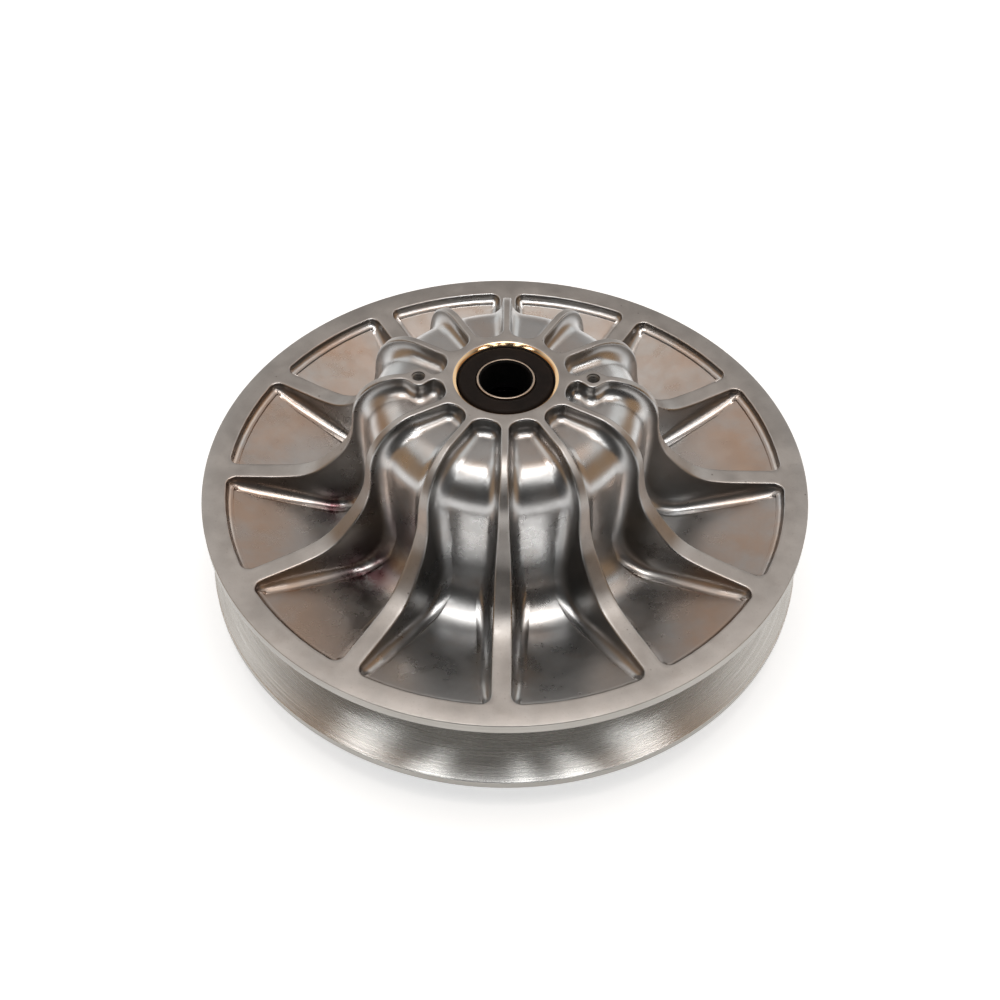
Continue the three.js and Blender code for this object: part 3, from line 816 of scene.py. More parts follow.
def bell_crest_line():
    outline = [
        (POCKET_OUTER_R / MM, 0), (116, 0), (104, 0), (94, 0.8), (88.4, 2.5), (83.7, 5.4), (78, 10.8),
        (72.8, 17), (70.3, 21.6), (68.5, 26.6), (67.5, 33), (66.8, 40), (64.9, 46.4), (61.8, 51.4),
        (57.6, 55.4), (52, 58.5), (45.5, 60), (36, 60), (POCKET_INNER_R / MM, 60),
    ]
    line = spline([(radius * MM, RIM_TOP + rise * MM) for radius, rise in outline], 700)
    line[:, 1] = np.clip(line[:, 1], RIM_TOP, HUB_TOP)
    return line


def bell_floor_line():
    def cone(radius):
        return face_height(radius, 1) + PLATE_THICKNESS

    foot_r = WALL_R + FOOT_R
    foot = (foot_r, cone(foot_r) + FOOT_R / math.cos(GROOVE_HALF_ANGLE))
    shoulder = (WALL_R - SHOULDER_R, FLOOR_TOP - SHOULDER_R)
    outer_r = POCKET_OUTER_R + 4 * MM
    points = [(outer_r, cone(outer_r))]
    points += arc(foot, FOOT_R, -math.pi / 2 + GROOVE_HALF_ANGLE, -math.pi, 40)
    points += arc(shoulder, SHOULDER_R, 0, math.pi / 2, 40)
    points.append((POCKET_INNER_R - 4 * MM, FLOOR_TOP))
    return points


def bell_half_width(radius, height):
    rise = np.clip((height - RIM_TOP) / (HUB_TOP - RIM_TOP), 0, 1)
    return (3.4 - 2.5 * rise) * MM


def make_bell():
    side = RibbedSide(
        bell_crest_line(), bell_floor_line(), bell_half_width,
        corner=5.5 * MM, fillets=(4.0 * MM, 5.8 * MM), edge_round=0.85 * MM, bosses=(0, RIBS // 2), flip=1,
    )
    outer_way = -2.5 * MM
    inner_way = side.way[-1] + 1.4 * MM
    recess_r = CARRIER_HIGH.x + 0.3 * MM
    shelf_z = CARRIER_LOW.z + 6.3 * MM
    points = [
        (POCKET_INNER_R - 1.4 * MM, HUB_TOP),
        (SEAL_CHAMFER_R, HUB_TOP),
        (SEAL_BORE_R, HUB_TOP - SEAL_CHAMFER_DEPTH),
        (SEAL_BORE_R, SEAL_LOW.z - 0.3 * MM),
        (15 * MM, SEAL_LOW.z - 0.3 * MM),
        (15 * MM, SEAL_LOW.z - 3.3 * MM),
        (27 * MM, SEAL_LOW.z - 3.3 * MM),
        (27 * MM, CAVITY_TOP),
        (43 * MM, CAVITY_TOP),
        (51.5 * MM, CAVITY_TOP - 3.5 * MM),
        (CAVITY_R, CAVITY_TOP - 12 * MM),
        (CAVITY_R, shelf_z),
        (recess_r, shelf_z),
        (recess_r, UPPER_RIM - 18.2 * MM),
        (65 * MM, UPPER_RIM - 18.2 * MM),
        (FACE_INNER_R, face_height(FACE_INNER_R, 1)),
        (SHEAVE_R, UPPER_RIM),
        (SHEAVE_R, RIM_TOP),
        (POCKET_OUTER_R + 2.5 * MM, RIM_TOP),
    ]
    slots = [CREST_SLOT, BORE_SLOT] + [INSIDE_SLOT] * 12 + [BELT_SLOT] * 2 + [EDGE_SLOT, CREST_SLOT]
    points, slots = round_rest(points, slots, 0.5 * MM)
    materials = [CREST, POCKET, SHADED_UPPER_FACE, POLISHED, SHADOWED_CAST, RIM_EDGE]
    return sheave_object("bell_sheave", side, outer_way, inner_way, points, slots, materials)


def turned_solid(profile, place=Matrix.Identity(4), sides=40):
    """Vertices and faces of a solid turned about +Z, from an open profile whose ends lie near the axis."""
    rows = len(profile)
    vertices = [place @ Vector(point) for point in turned_points(profile, sides)]
    faces = turned_faces(sides, rows, open_rows=True)
    faces.append(tuple(k * rows for k in reversed(range(sides))))
    faces.append(tuple(k * rows + rows - 1 for k in range(sides)))
    return vertices, faces


def at_angle(angle):
    return Matrix.Rotation(angle, 4, "Z")


def along_radius(angle, height):
    """Turns a solid made about +Z so that it runs outwards from the axis at a height."""
    return at_angle(angle) @ Matrix.Translation((0, 0, height)) @ Matrix.Rotation(math.pi / 2, 4, "Y")


def peg(radius, bottom, top, x=0.0, turn=0.0, sides=32):
    """A plain round solid for cutting holes."""
    place = at_angle(turn) @ Matrix.Translation((x, 0, 0))
    return turned_solid([(radius, bottom), (radius, top)], place, sides)


def block(low, high, place=Matrix.Identity(4)):
    corners = [(x, y, z) for x in (low[0], high[0]) for y in (low[1], high[1]) for z in (low[2], high[2])]
    faces = [(0, 1, 3, 2), (4, 6, 7, 5), (0, 4, 5, 1), (2, 3, 7, 6), (0, 2, 6, 4), (1, 5, 7, 3)]
    return [place @ Vector(c) for c in corners], faces


def bevel(obj, width, angle=35, segments=2):
    """Rounds the edges that are sharper than the angle, in the mesh itself."""
    work = bmesh.new()
    work.from_mesh(obj.data)
    limit = math.radians(angle)
    edges = [e for e in work.edges if len(e.link_faces) == 2 and e.calc_face_angle(0.0) > limit]
    bmesh.ops.bevel(
        work, geom=edges, offset=width, segments=segments, profile=0.7, affect="EDGES", clamp_overlap=True,
    )
    bmesh.ops.recalc_face_normals(work, faces=work.faces)
    work.to_mesh(obj.data)
    work.free()


def settle(obj, body, nodes):
    """Hands a finished piece to the frame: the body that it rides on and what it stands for."""
    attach(obj, body)
    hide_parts(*nodes)


def thread_liner(radius, depth, pitch, bottom, top, x, sides=36):
    """A tapped hole's thread: a sleeve whose inner wall winds in and out."""
    levels = int((top - bottom) / (pitch / 8))
    heights = [bottom + (top - bottom) * level / levels for level in range(levels + 1)]
    outside = radius + depth + 0.3 * MM
    vertices = []
    for k in range(sides):
        angle = TAU * k / sides
        rows = [(radius + depth * abs(2 * ((z / pitch + k / sides) % 1.0) - 1), z) for z in heights]
        for r, z in rows + [(outside, top), (outside, bottom)]:
            vertices.append((x + r * math.cos(angle), r * math.sin(angle), z))
    return vertices, turned_faces(sides, levels + 3)


CARRIER_SCREW_R = 58.5 * MM
SHEAVE_SCREW_R = 27 * MM
SCREWS = 6
SCREW_TURN = TAU / SCREWS

bell = make_bell()
bell_holes = [
    peg(TAPPED_R + 0.45 * MM, CAVITY_TOP - 2 * MM, HUB_TOP + 2 * MM, TAPPED_CIRCLE_R, turn)
    for turn in (0, math.pi)
]
bell_holes += [
    peg(2.1 * MM, CARRIER_HIGH.z - 16 * MM, CARRIER_SCREW_HIGH.z + 1 * MM, CARRIER_SCREW_R,
        SECTOR / 2 + SCREW_TURN * k)
    for k in range(SCREWS)
]
cut(bell, bell_holes, SHADOWED_CAST)
sharpen(bell, 40)
settle(bell, "bell", ["movable_sheave"])

threads = joined("tapped_threads", [
    thread_liner(
        TAPPED_R - 0.05 * MM, 0.45 * MM, 1.0 * MM, CAVITY_TOP + 0.3 * MM, HUB_TOP - 0.9 * MM,
        sign * TAPPED_CIRCLE_R,
    )
    for sign in (1, -1)
], [SHADOWED_CAST])
weld(threads)
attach(threads, "bell")


# ---------------------------------------------------------------- the fixed sheave

BACK_HUB_R = 45 * MM
FLANGE_BOTTOM = 30.3 * MM
FLANGE_R = 34 * MM
POST_R = 16 * MM
SHAFT_R = 11 * MM
HEAD_SEAT_Z = 16 * MM


def fixed_crest_line():
    outline = [
        (POCKET_OUTER_R / MM, 1.0), (118, 0.93), (104, 0.74), (90, 0.57), (76, 0.41), (64, 0.27),
        (55, 0.12), (50, 0.02), (48, 0.0), (BACK_HUB_R / MM, 0.0),
    ]
    line = spline([(radius * MM, RIM_BOTTOM * share) for radius, share in outline], 700)
    line[:, 1] = np.clip(line[:, 1], 0, RIM_BOTTOM)
    return line


def fixed_floor_line():
    start = (POCKET_OUTER_R + 4 * MM, RIM_BOTTOM + 1.2 * MM)
    foot = (62 * MM, RIM_BOTTOM + 16.2 * MM)
    wall_r = BACK_HUB_R + 1.5 * MM
    points = [start]
    for t in np.linspace(0, 1, 40):
        r = (1 - t) ** 2 * foot[0] + 2 * t * (1 - t) * wall_r + t ** 2 * wall_r
        z = (1 - t) ** 2 * foot[1] + 2 * t * (1 - t) * (foot[1] + 2 * MM) + t ** 2 * 16 * MM
        points.append((r, z))
    points.append((wall_r, 1.5 * MM))
    return points


def make_fixed_sheave():
    side = RibbedSide(
        fixed_crest_line(), fixed_floor_line(), lambda radius, height: 3.0 * MM,
        corner=5.0 * MM, fillets=(3.6 * MM, 4.2 * MM), edge_round=0.6 * MM, flip=-1,
    )
    outer_way = -2.5 * MM
    inner_way = side.way[-1] + 2.0 * MM
    points = [
        (BACK_HUB_R - 2.0 * MM, 0.0),
        (POST_R + 1.2 * MM, 0.0),
        (POST_R + 0.3 * MM, 0.9 * MM),
        (POST_R + 0.3 * MM, FLANGE_BOTTOM - 0.3 * MM),
        (FLANGE_R + 2 * MM, FLANGE_BOTTOM - 0.3 * MM),
        (FLANGE_R + 6 * MM, 34 * MM),
        (64 * MM, 34 * MM),
        (FACE_INNER_R, face_height(FACE_INNER_R, -1)),
        (SHEAVE_R, LOWER_RIM),
        (SHEAVE_R, RIM_BOTTOM),
        (POCKET_OUTER_R + 2.5 * MM, RIM_BOTTOM),
    ]
    slots = [BORE_SLOT] * 3 + [INSIDE_SLOT] * 3 + [BELT_SLOT] * 2 + [EDGE_SLOT, CREST_SLOT]
    points, slots = round_rest(points, slots, 0.5 * MM)
    materials = [CREST, POCKET, BELT_FACE, STEEL, SHADOWED_CAST, RIM_EDGE]
    sheave = sheave_object("lower_sheave", side, outer_way, inner_way, points, slots, materials)
    holes = []
    for k in range(SCREWS):
        place = at_angle(SECTOR + SCREW_TURN * k) @ Matrix.Translation((SHEAVE_SCREW_R, 0, 0))
        profile = [
            (5.4 * MM, -1 * MM), (5.4 * MM, 0.0), (5 * MM, 0.4 * MM), (5 * MM, HEAD_SEAT_Z),
            (2.8 * MM, HEAD_SEAT_Z), (2.8 * MM, FLANGE_BOTTOM + 1 * MM),
        ]
        holes.append(turned_solid(profile, place, 32))
    cut(sheave, holes, STEEL)
    sharpen(sheave, 40)
    return sheave


settle(make_fixed_sheave(), "root", ["fixed_sheave"])


# ---------------------------------------------------------------- post, cam, seat and circlip

FLANGE_TOP = CARRIER_LOW.z - 0.3 * MM
CAM_WEB = 4 * MM


def key_slot():
    """The room for the cam's key, half in the post and half in the cam's web."""
    middle = Vector((POST_R - 0.1 * MM, 0, CAM_HIGH.z - CAM_WEB / 2))
    reach = Vector((2.1 * MM, 2.0 * MM, 2.3 * MM))
    return block(middle - reach, middle + reach)


def make_post():
    groove = CLIP_LOW.z - 0.1 * MM
    post = lathe("post_tube", [
        (SHAFT_R, POST_LOW.z), (POST_R, POST_LOW.z), (POST_R, FLANGE_BOTTOM), (FLANGE_R, FLANGE_BOTTOM),
        (FLANGE_R, FLANGE_TOP), (POST_R, FLANGE_TOP), (POST_R, groove), (POST_R - 1 * MM, groove),
        (POST_R - 1 * MM, CLIP_HIGH.z + 0.2 * MM), (POST_R, CLIP_HIGH.z + 0.2 * MM),
        (POST_R, POST_HIGH.z - 1 * MM), (POST_R - 1 * MM, POST_HIGH.z), (SHAFT_R + 0.7 * MM, POST_HIGH.z),
        (SHAFT_R, POST_HIGH.z - 0.7 * MM),
    ], STEEL)
    low, high = FLANGE_BOTTOM - 1 * MM, FLANGE_TOP + 1 * MM
    holes = [peg(2.6 * MM, low, high, SHEAVE_SCREW_R, SECTOR + SCREW_TURN * k) for k in range(SCREWS)]
    cut(post, holes + [key_slot()], STEEL)
    sharpen(post)
    return post


settle(make_post(), "root", ["post"])

ROLLERS = 3
FIRST_ROLLER = math.pi / 2
ROLLER_Z = (PIN_LOW.z + PIN_HIGH.z) / 2
ROLLER_R = (ROLLER_HIGH.z - ROLLER_LOW.z) / 2
TRAVEL = 18 * MM
TURN = math.radians(30)
RAMP_RISE = TRAVEL / TURN
CAM_IN, CAM_OUT = 24 * MM, 34 * MM
RAMP_AT_REST = ROLLER_Z + 12.6 * MM
RAMP_START = math.radians(-14)
ROOF_END = math.radians(50)


def cam_edge(angle):
    """Height of the cam's lower edge at an angle from a roller's place at rest."""
    roof = 82.2 * MM
    return min(roof, RAMP_AT_REST + angle * RAMP_RISE)


def make_cam():
    """A ring with three helical ramps on its lower edge."""
    stops = list(np.linspace(RAMP_START, ROOF_END, 40))
    tooth = RAMP_AT_REST + RAMP_START * RAMP_RISE
    edges = [(a, cam_edge(a)) for a in stops]
    flat = np.linspace(ROOF_END + math.radians(0.5), TAU / ROLLERS + RAMP_START, 26)[:-1]
    edges += [(a, tooth) for a in flat]
    profile = [
        (CAM_IN, None), (CAM_OUT, None), (CAM_OUT, CAM_HIGH.z), (POST_R + 0.3 * MM, CAM_HIGH.z),
        (POST_R + 0.3 * MM, CAM_HIGH.z - CAM_WEB), (CAM_IN, CAM_HIGH.z - CAM_WEB),
    ]
    vertices = []
    for tooth_index in range(ROLLERS):
        for angle, height in edges:
            turn = FIRST_ROLLER + tooth_index * TAU / ROLLERS + angle
            for r, z in profile:
                vertices.append((r * math.cos(turn), r * math.sin(turn), height if z is None else z))
    faces = turned_faces(len(edges) * ROLLERS, len(profile))
    cam = new_object("torque_cam_ring", vertices, faces, [STEEL])
    weld(cam)
    cut(cam, [key_slot()], STEEL)
    bevel(cam, 0.25 * MM, angle=40)
    sharpen(cam)
    return cam


settle(make_cam(), "root", ["torque_cam"])

KEY_LOW, KEY_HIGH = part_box("cam_key")
key = joined("drive_key", [block(KEY_LOW, KEY_HIGH)], [STEEL])
bevel(key, 0.4 * MM, segments=3)
settle(key, "root", ["cam_key"])

SEAT_R = SEAT_HIGH.x
seat = lathe("spring_seat_disc", [
    (POST_R + 0.3 * MM, SEAT_LOW.z), (SEAT_R - 13 * MM, SEAT_LOW.z),
    (SEAT_R - 12 * MM, SEAT_LOW.z + 0.8 * MM), (SEAT_R - 11 * MM, SEAT_LOW.z),
    (SEAT_R, SEAT_LOW.z), (SEAT_R, SEAT_HIGH.z - 0.8 * MM), (SEAT_R - 0.8 * MM, SEAT_HIGH.z),
    (POST_R + 7 * MM, SEAT_HIGH.z), (POST_R + 6 * MM, SEAT_HIGH.z - 0.6 * MM),
    (POST_R + 0.3 * MM, SEAT_HIGH.z - 0.6 * MM),
], STEEL)
settle(seat, "root", ["spring_seat"])


def make_circlip():
    """An open ring with a drilled lug at each end."""
    inner, outer = POST_R - 0.7 * MM, POST_R + 2.2 * MM
    lug = CLIP_HIGH.y
    opening = math.radians(13)
    angles = np.linspace(opening, TAU - opening, 97)
    vertices = []
    for angle in angles:
        from_end = min(angle - opening, TAU - opening - angle)
        share = 0.5 + 0.5 * math.cos(min(from_end / math.radians(16), 1) * math.pi)
        reach = outer + (lug - outer) * share
        for r, z in ((inner, CLIP_LOW.z), (reach, CLIP_LOW.z), (reach, CLIP_HIGH.z), (inner, CLIP_HIGH.z)):
            vertices.append((r * math.cos(angle), r * math.sin(angle), z))
    faces = turned_faces(len(angles), 4, open_columns=True)
    last = (len(angles) - 1) * 4
    faces += [(3, 2, 1, 0), (last, last + 1, last + 2, last + 3)]
    clip = new_object("seat_clip", vertices, faces, [SPRING])
    eye_turn = math.radians(19)
    holes = [
        peg(0.9 * MM, CLIP_LOW.z - 1 * MM, CLIP_HIGH.z + 1 * MM, POST_R + 2.0 * MM, turn, 20)
        for turn in (eye_turn, -eye_turn)
    ]
    cut(clip, holes, SPRING)
    bevel(clip, 0.15 * MM, angle=50)
    sharpen(clip)
    return clip


settle(make_circlip(), "root", ["seat_circlip"])


# ---------------------------------------------------------------- spring, washer, bushes and seal

def make_spring():
    """A helical wire whose end coils lie closer, as on a ground spring."""
    turns = 3.75
    wire = 2.5 * MM
    mean = SPRING_HIGH.x - wire
    low, high = SPRING_LOW.z + wire, SPRING_HIGH.z - wire
    per_turn, sides = 72, 20
    count = int(turns * per_turn)
    points = []
    for k in range(count + 1):
        t = k / count
        eased = t - 0.11 * math.sin(TAU * t) * (1 - 0.4 * math.cos(TAU * t))
        angle = t * turns * TAU
        points.append(Vector((mean * math.cos(angle), mean * math.sin(angle), low + (high - low) * eased)))
    vertices = []
    for k, point in enumerate(points):
        along = (points[min(k + 1, count)] - points[max(k - 1, 0)]).normalized()
        out = Vector((point.x, point.y, 0)).normalized()
        up = along.cross(out).normalized()
        out = up.cross(along).normalized()
        for j in range(sides):
            a = TAU * j / sides
            vertices.append(point + wire * (math.cos(a) * out + math.sin(a) * up))
    faces = turned_faces(count + 1, sides, open_columns=True)
    faces.append(tuple(range(sides)))
    faces.append(tuple(reversed(range(count * sides, count * sides + sides))))
    spring = new_object("coil_spring", vertices, faces, [SPRING])
    weld(spring)
    sharpen(spring, 50)
    return spring


spring = make_spring()
settle(spring, "root", ["closing_spring"])
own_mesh(spring)

WASHER_IN = 43 * MM
WASHER_OUT = WASHER_HIGH.x
washer = lathe("thrust_washer", [
    (WASHER_IN, WASHER_LOW.z), (WASHER_OUT, WASHER_LOW.z), (WASHER_OUT, WASHER_HIGH.z - 0.5 * MM),
    (WASHER_OUT - 0.5 * MM, WASHER_HIGH.z), (WASHER_IN + 0.5 * MM, WASHER_HIGH.z),
    (WASHER_IN, WASHER_HIGH.z - 0.5 * MM),
], STEEL)
settle(washer, "spring_carriage", ["spring_washer"])


def line_bore(obj, radius):
    """Gives the faces within a radius of the axis the black lining."""
    obj.data.materials.append(LINER)
    for face in obj.data.polygons:
        if math.hypot(face.center.x, face.center.y) < radius:
            face.material_index = 1


SEAL_R = SEAL_HIGH.y
SEAL_IN = 12.8 * MM
seal = lathe("hub_seal", [
    (SEAL_IN, SEAL_LOW.z), (SEAL_R, SEAL_LOW.z), (SEAL_R, SEAL_HIGH.z - 2.0 * MM),
    (SEAL_R - 0.35 * MM, SEAL_HIGH.z - 0.8 * MM), (SEAL_R - 1.3 * MM, SEAL_HIGH.z - 0.15 * MM),
    (SEAL_R - 2.2 * MM, SEAL_HIGH.z), (SEAL_IN + 1.4 * MM, SEAL_HIGH.z),
    (SEAL_IN + 0.2 * MM, SEAL_HIGH.z - 0.5 * MM), (SEAL_IN, SEAL_HIGH.z - 1.0 * MM),
], SEAL, corner=0.5 * MM)
settle(seal, "bell", ["shaft_seal"])

BUSH_R = BUSH_HIGH.x
upper_bush = lathe("upper_bush_sleeve", [
    (SHAFT_R, BUSH_LOW.z), (BUSH_R, BUSH_LOW.z), (BUSH_R, BUSH_HIGH.z - 0.2 * MM),
    (BUSH_R - 0.2 * MM, BUSH_HIGH.z), (SHAFT_R + 0.75 * MM, BUSH_HIGH.z), (SHAFT_R, BUSH_HIGH.z - 0.9 * MM),
], BUSH, corner=0.12 * MM)
line_bore(upper_bush, SHAFT_R + 0.7 * MM)
settle(upper_bush, "bell", ["upper_bush"])

lower_bush = lathe("lower_bush_sleeve", [
    (POST_R + 0.3 * MM, LOWER_BUSH_LOW.z), (LOWER_BUSH_HIGH.x, LOWER_BUSH_LOW.z),
    (LOWER_BUSH_HIGH.x, LOWER_BUSH_HIGH.z), (POST_R + 0.8 * MM, LOWER_BUSH_HIGH.z),
    (POST_R + 0.3 * MM, LOWER_BUSH_HIGH.z - 0.5 * MM),
], BUSH)
settle(lower_bush, "bell", ["lower_bush"])


# ---------------------------------------------------------------- roller carrier, rollers and screws

EAR_IN, EAR_OUT = 34.8 * MM, 40 * MM
CARRIER_TOP = 42 * MM


def make_carrier():
    radius = CARRIER_HIGH.x
    bore = LOWER_BUSH_HIGH.x + 0.3 * MM
    carrier = lathe("carrier_plate", [
        (bore, CARRIER_LOW.z), (radius, CARRIER_LOW.z), (radius, CARRIER_TOP), (23.6 * MM, CARRIER_TOP),
        (22.8 * MM, CARRIER_TOP + 0.4 * MM), (22.5 * MM, CARRIER_TOP + 1.4 * MM),
        (22.5 * MM, CARRIER_HIGH.z - 5 * MM), (22.0 * MM, CARRIER_HIGH.z - 5.5 * MM),
        (bore, CARRIER_HIGH.z - 5.5 * MM),
    ], SHADOWED_CAST)
    ear_top = ROLLER_Z + 5.5 * MM
    ears = []
    for k in range(ROLLERS):
        place = at_angle(FIRST_ROLLER + TAU * k / ROLLERS)
        ears.append(block((EAR_IN, -6 * MM, CARRIER_TOP - 1 * MM), (EAR_OUT, 6 * MM, ear_top), place))
    ear = joined("ears", ears, [SHADOWED_CAST], smooth=False)
    bevel(ear, 1.2 * MM, segments=3)
    combine(carrier, ear, "UNION")
    holes = []
    for k in range(ROLLERS):
        place = along_radius(FIRST_ROLLER + TAU * k / ROLLERS, ROLLER_Z)
        holes.append(turned_solid([(3.2 * MM, EAR_IN - 2 * MM), (3.2 * MM, EAR_OUT + 2 * MM)], place, 28))
    for k in range(SCREWS):
        place = at_angle(SECTOR / 2 + SCREW_TURN * k) @ Matrix.Translation((CARRIER_SCREW_R, 0, 0))
        profile = [
            (3.9 * MM, CARRIER_LOW.z - 1 * MM), (3.9 * MM, CARRIER_LOW.z + 3.6 * MM),
            (2.1 * MM, CARRIER_LOW.z + 3.6 * MM), (2.1 * MM, CARRIER_TOP + 1 * MM),
        ]
        holes.append(turned_solid(profile, place, 28))
    cut(carrier, holes, STEEL)
    sharpen(carrier)
    return carrier


settle(make_carrier(), "bell", ["roller_carrier"])


def solid_of_revolution(name, profile, place, material, sides=48):
    vertices, faces = turned_solid(profile, place, sides)
    obj = new_object(name, vertices, faces, [material])
    weld(obj)
    sharpen(obj)
    return obj


ROLLER_IN, ROLLER_OUT = 25 * MM, 33 * MM
PIN_R = 3 * MM
for index, body in enumerate(("cam_roller_a", "cam_roller_b", "cam_roller_c")):
    place = along_radius(FIRST_ROLLER + TAU * index / ROLLERS, ROLLER_Z)
    roller = lathe(f"ramp_roller_{index + 1}", [
        (PIN_R + 0.3 * MM, ROLLER_IN), (5.2 * MM, ROLLER_IN), (5.6 * MM, ROLLER_IN + 0.5 * MM),
        (6.4 * MM, ROLLER_IN + 0.5 * MM), (ROLLER_R, ROLLER_IN + 1.2 * MM), (ROLLER_R, ROLLER_OUT - 1.2 * MM),
        (6.4 * MM, ROLLER_OUT - 0.5 * MM), (5.6 * MM, ROLLER_OUT - 0.5 * MM), (5.2 * MM, ROLLER_OUT),
        (PIN_R + 0.3 * MM, ROLLER_OUT),
    ], PLASTIC, columns=64, place=place)
    settle(roller, body, [f"cam_roller_{index + 1}"])
    pin_low, pin_high = 23.6 * MM, 39.5 * MM
    pin = solid_of_revolution(f"pin_{index + 1}", [
        (PIN_R - 1.4 * MM, pin_low), (PIN_R - 0.4 * MM, pin_low), (PIN_R, pin_low + 0.4 * MM),
        (PIN_R, pin_high - 0.4 * MM), (PIN_R - 0.4 * MM, pin_high), (PIN_R - 1.4 * MM, pin_high),
    ], place, STEEL)
    settle(pin, "bell", [f"roller_pin_{index + 1}"])


def make_screw(name, head_r, shank_r, low, head_top, high, x, turn):
    """A cap screw standing on its head, with a hexagon socket below and rolled thread rings above."""
    pitch = 0.8 * MM
    profile = [
        (head_r * 0.2, low), (head_r - 0.4 * MM, low), (head_r, low + 0.4 * MM), (head_r, head_top),
        (shank_r, head_top),
    ]
    z = head_top + 2 * MM
    while z < high - 1.2 * MM:
        profile += [(shank_r, z), (shank_r - 0.3 * MM, z + pitch / 2)]
        z += pitch
    profile += [(shank_r, high - 0.6 * MM), (shank_r - 0.6 * MM, high), (shank_r * 0.2, high)]
    place = at_angle(turn) @ Matrix.Translation((x, 0, 0))
    screw = solid_of_revolution(name, profile, place, STEEL, 32)
    socket = turned_solid([(head_r * 0.55, low - 1 * MM), (head_r * 0.55, low + 1.7 * MM)], place, 6)
    cut(screw, [socket], STEEL, smooth=False)
    sharpen(screw)
    return screw


for k in range(SCREWS):
    sheave_screw = make_screw(
        f"post_screw_{k + 1}", 4.3 * MM, 2.3 * MM, SHEAVE_SCREW_LOW.z, HEAD_SEAT_Z - 0.3 * MM,
        SHEAVE_SCREW_HIGH.z, SHEAVE_SCREW_R, SECTOR + SCREW_TURN * k,
    )
    settle(sheave_screw, "root", [f"sheave_screw_{k + 1}"])
    plate_screw = make_screw(
        f"plate_screw_{k + 1}", 3.5 * MM, 1.8 * MM, CARRIER_SCREW_LOW.z, CARRIER_SCREW_LOW.z + 3.1 * MM,
        CARRIER_SCREW_HIGH.z, CARRIER_SCREW_R, SECTOR / 2 + SCREW_TURN * k,
    )
    settle(plate_screw, "bell", [f"carrier_screw_{k + 1}"])


# ---------------------------------------------------------------- stage, light and camera

FLOOR_GLOW = 0.55
FLOOR_GAP = 0.3 * MM


def make_floor():
    """A white sweep that glows a little, so that it stays white away from the lights.

    The metal mirrors the far part of it darker than it is seen."""
    size = 3.0
    mesh = bpy.data.meshes.new("floor")
    corners = [(-size, -size), (size, -size), (size, size), (-size, size)]
    mesh.from_pydata([(x, y, -FLOOR_GAP) for x, y in corners], [], [(0, 1, 2, 3)])
    floor = bpy.data.objects.new("floor", mesh)
    bpy.context.scene.collection.objects.link(floor)
    n = Nodes("pale_floor", Roughness=0.9, Emission_Color=(0.96, 0.985, 1.0))
    n.feed(Base_Color=n.mix(n.noise(3), (0.86, 0.86, 0.86), (0.88, 0.88, 0.88)))
    seen = n.node("LightPath").outputs["Is Camera Ray"]
    mirrored = n.ramp(n.radius(), 0.6, 1.6, FLOOR_GLOW, 0.3 * FLOOR_GLOW)
    n.feed(Emission_Strength=n.math("MAXIMUM", mirrored, n.math("MULTIPLY", seen, FLOOR_GLOW)))
    mesh.materials.append(n.material)


def area_light(name, place, target, size, power, colour):
    data = bpy.data.lights.new(name, "AREA")
    data.shape = "RECTANGLE"
    data.size, data.size_y = size
    data.energy = power
    data.color = colour
    light = bpy.data.objects.new(name, data)
    light.location = place
    light.rotation_mode = "QUATERNION"
    light.rotation_quaternion = (Vector(target) - Vector(place)).to_track_quat("-Z", "Y")
    bpy.context.scene.collection.objects.link(light)


class Surroundings(Tree):
    """The room that the metal mirrors: colours laid over each other by direction."""

    def __init__(self, colour):
        world = bpy.data.worlds.new("studio")
        world.use_nodes = True
        bpy.context.scene.world = world
        super().__init__(world.node_tree)
        direction = self.node("TexCoord").outputs["Generated"]
        self.x, self.y, self.z = self.node("SeparateXYZ", Vector=direction).outputs
        self.colour = colour

    def rise(self, source, low, high):
        return self.ramp(source, low, high, smooth=True)

    def lay(self, share, colour):
        self.colour = self.mix(share, self.colour, colour)

    def finish(self, backdrop):
        """Lets the metal mirror the room, in front of a plain backdrop."""
        self.lay(self.node("LightPath").outputs["Is Camera Ray"], backdrop)
        self.give(self.tree.nodes["Background"].inputs["Color"], self.colour)


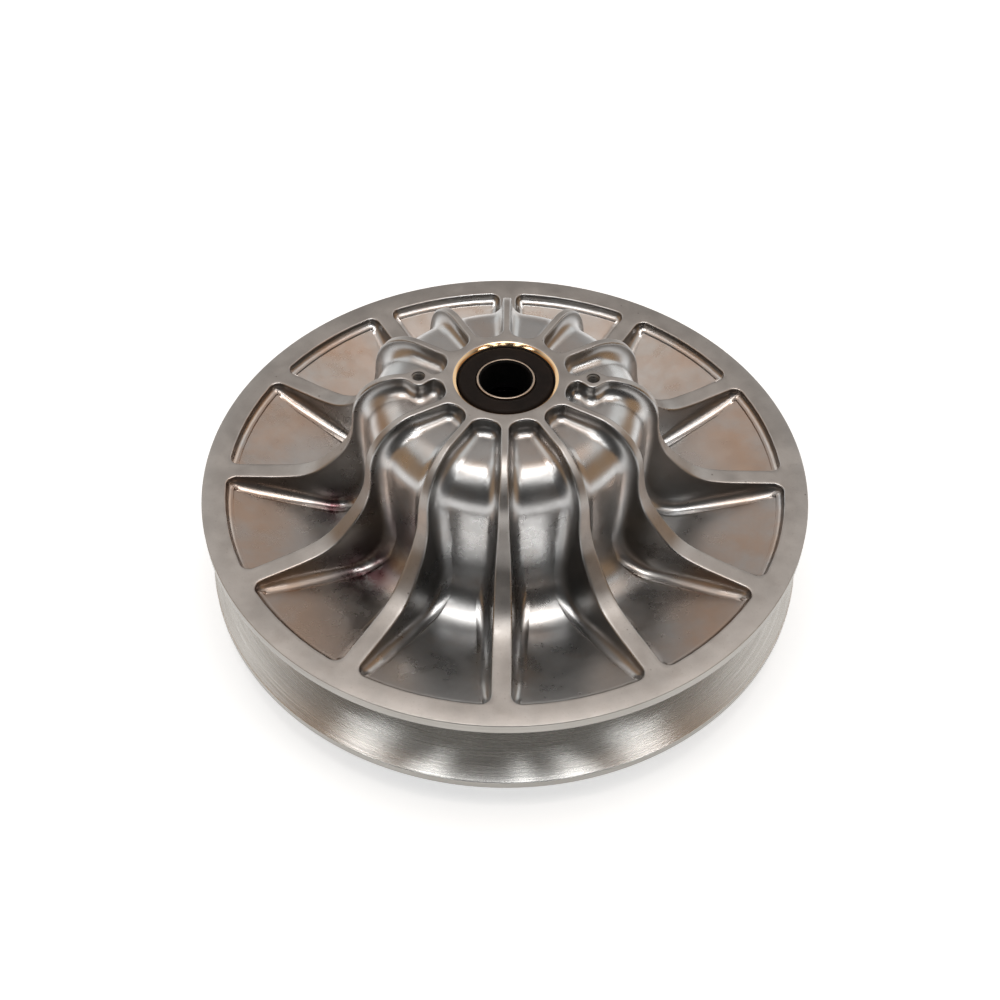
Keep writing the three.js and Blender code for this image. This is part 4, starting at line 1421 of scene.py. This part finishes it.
def make_surroundings():
    """Dark in front, grey behind, brown at the sides and on the ceiling, white right overhead."""
    room = Surroundings((0.045, 0.044, 0.043))
    side = room.math("ABSOLUTE", room.x)
    behind = room.rise(room.y, -0.2, 0.4)
    ceiling = room.math("MULTIPLY", room.rise(room.z, 0.80, 0.90), room.rise(room.y, -0.30, -0.05))
    room.lay(room.rise(room.y, -0.20, 0.50), (0.37, 0.345, 0.325))
    room.lay(room.math("MULTIPLY", room.rise(side, 0.28, 0.42), behind), (0.92, 0.92, 0.90))
    room.lay(room.rise(side, 0.68, 0.80), (0.36, 0.23, 0.13))
    room.lay(ceiling, (0.52, 0.36, 0.25))
    room.lay(room.rise(room.z, 0.965, 0.985), (1.1, 1.08, 1.06))
    room.finish((1.0, 1.0, 1.0))


make_floor()
LAMP_WHITE = (1.0, 0.99, 0.97)
area_light("top_softbox", (0.0, 0.05, 1.5), (0, 0, 0.05), (0.8, 0.6), 6, LAMP_WHITE)
for number, (x, width) in enumerate([(-0.80, 0.24), (-0.34, 0.09), (0.10, 0.06), (0.35, 0.09), (0.80, 0.24)]):
    area_light(f"lamp_{number + 1}", (x, -0.45, 1.45), (x, -0.45, 0), (width, 0.5), 7 * width, LAMP_WHITE)
make_surroundings()
bpy.context.scene.view_settings.view_transform = "Standard"


def make_camera():
    """The photograph's viewing angle, found by fitting both rims."""
    elevation, azimuth = 0.816, 0.0049
    distance = 0.6849
    roll, tilt, pan = -0.0095, 0.0177, -0.0031
    data = bpy.data.cameras.new("camera")
    data.sensor_width = 36
    data.lens = 54.01
    data.clip_start = 0.01
    camera = bpy.data.objects.new("camera", data)
    back = Vector((
        math.sin(azimuth) * math.cos(elevation),
        -math.cos(azimuth) * math.cos(elevation),
        math.sin(elevation),
    ))
    right = (-back).cross(Vector((0, 0, 1))).normalized()
    up = right.cross(-back)
    axes = Matrix((right, up, back))
    turn = Matrix.Rotation(roll, 3, "Z") @ Matrix.Rotation(tilt, 3, "X") @ Matrix.Rotation(pan, 3, "Y")
    axes = turn @ axes
    place = Vector((0, 0, RIM_TOP)) + back * distance
    camera.matrix_world = Matrix.Translation(place) @ axes.transposed().to_4x4()
    bpy.context.scene.collection.objects.link(camera)
    bpy.context.scene.camera = camera


make_camera()
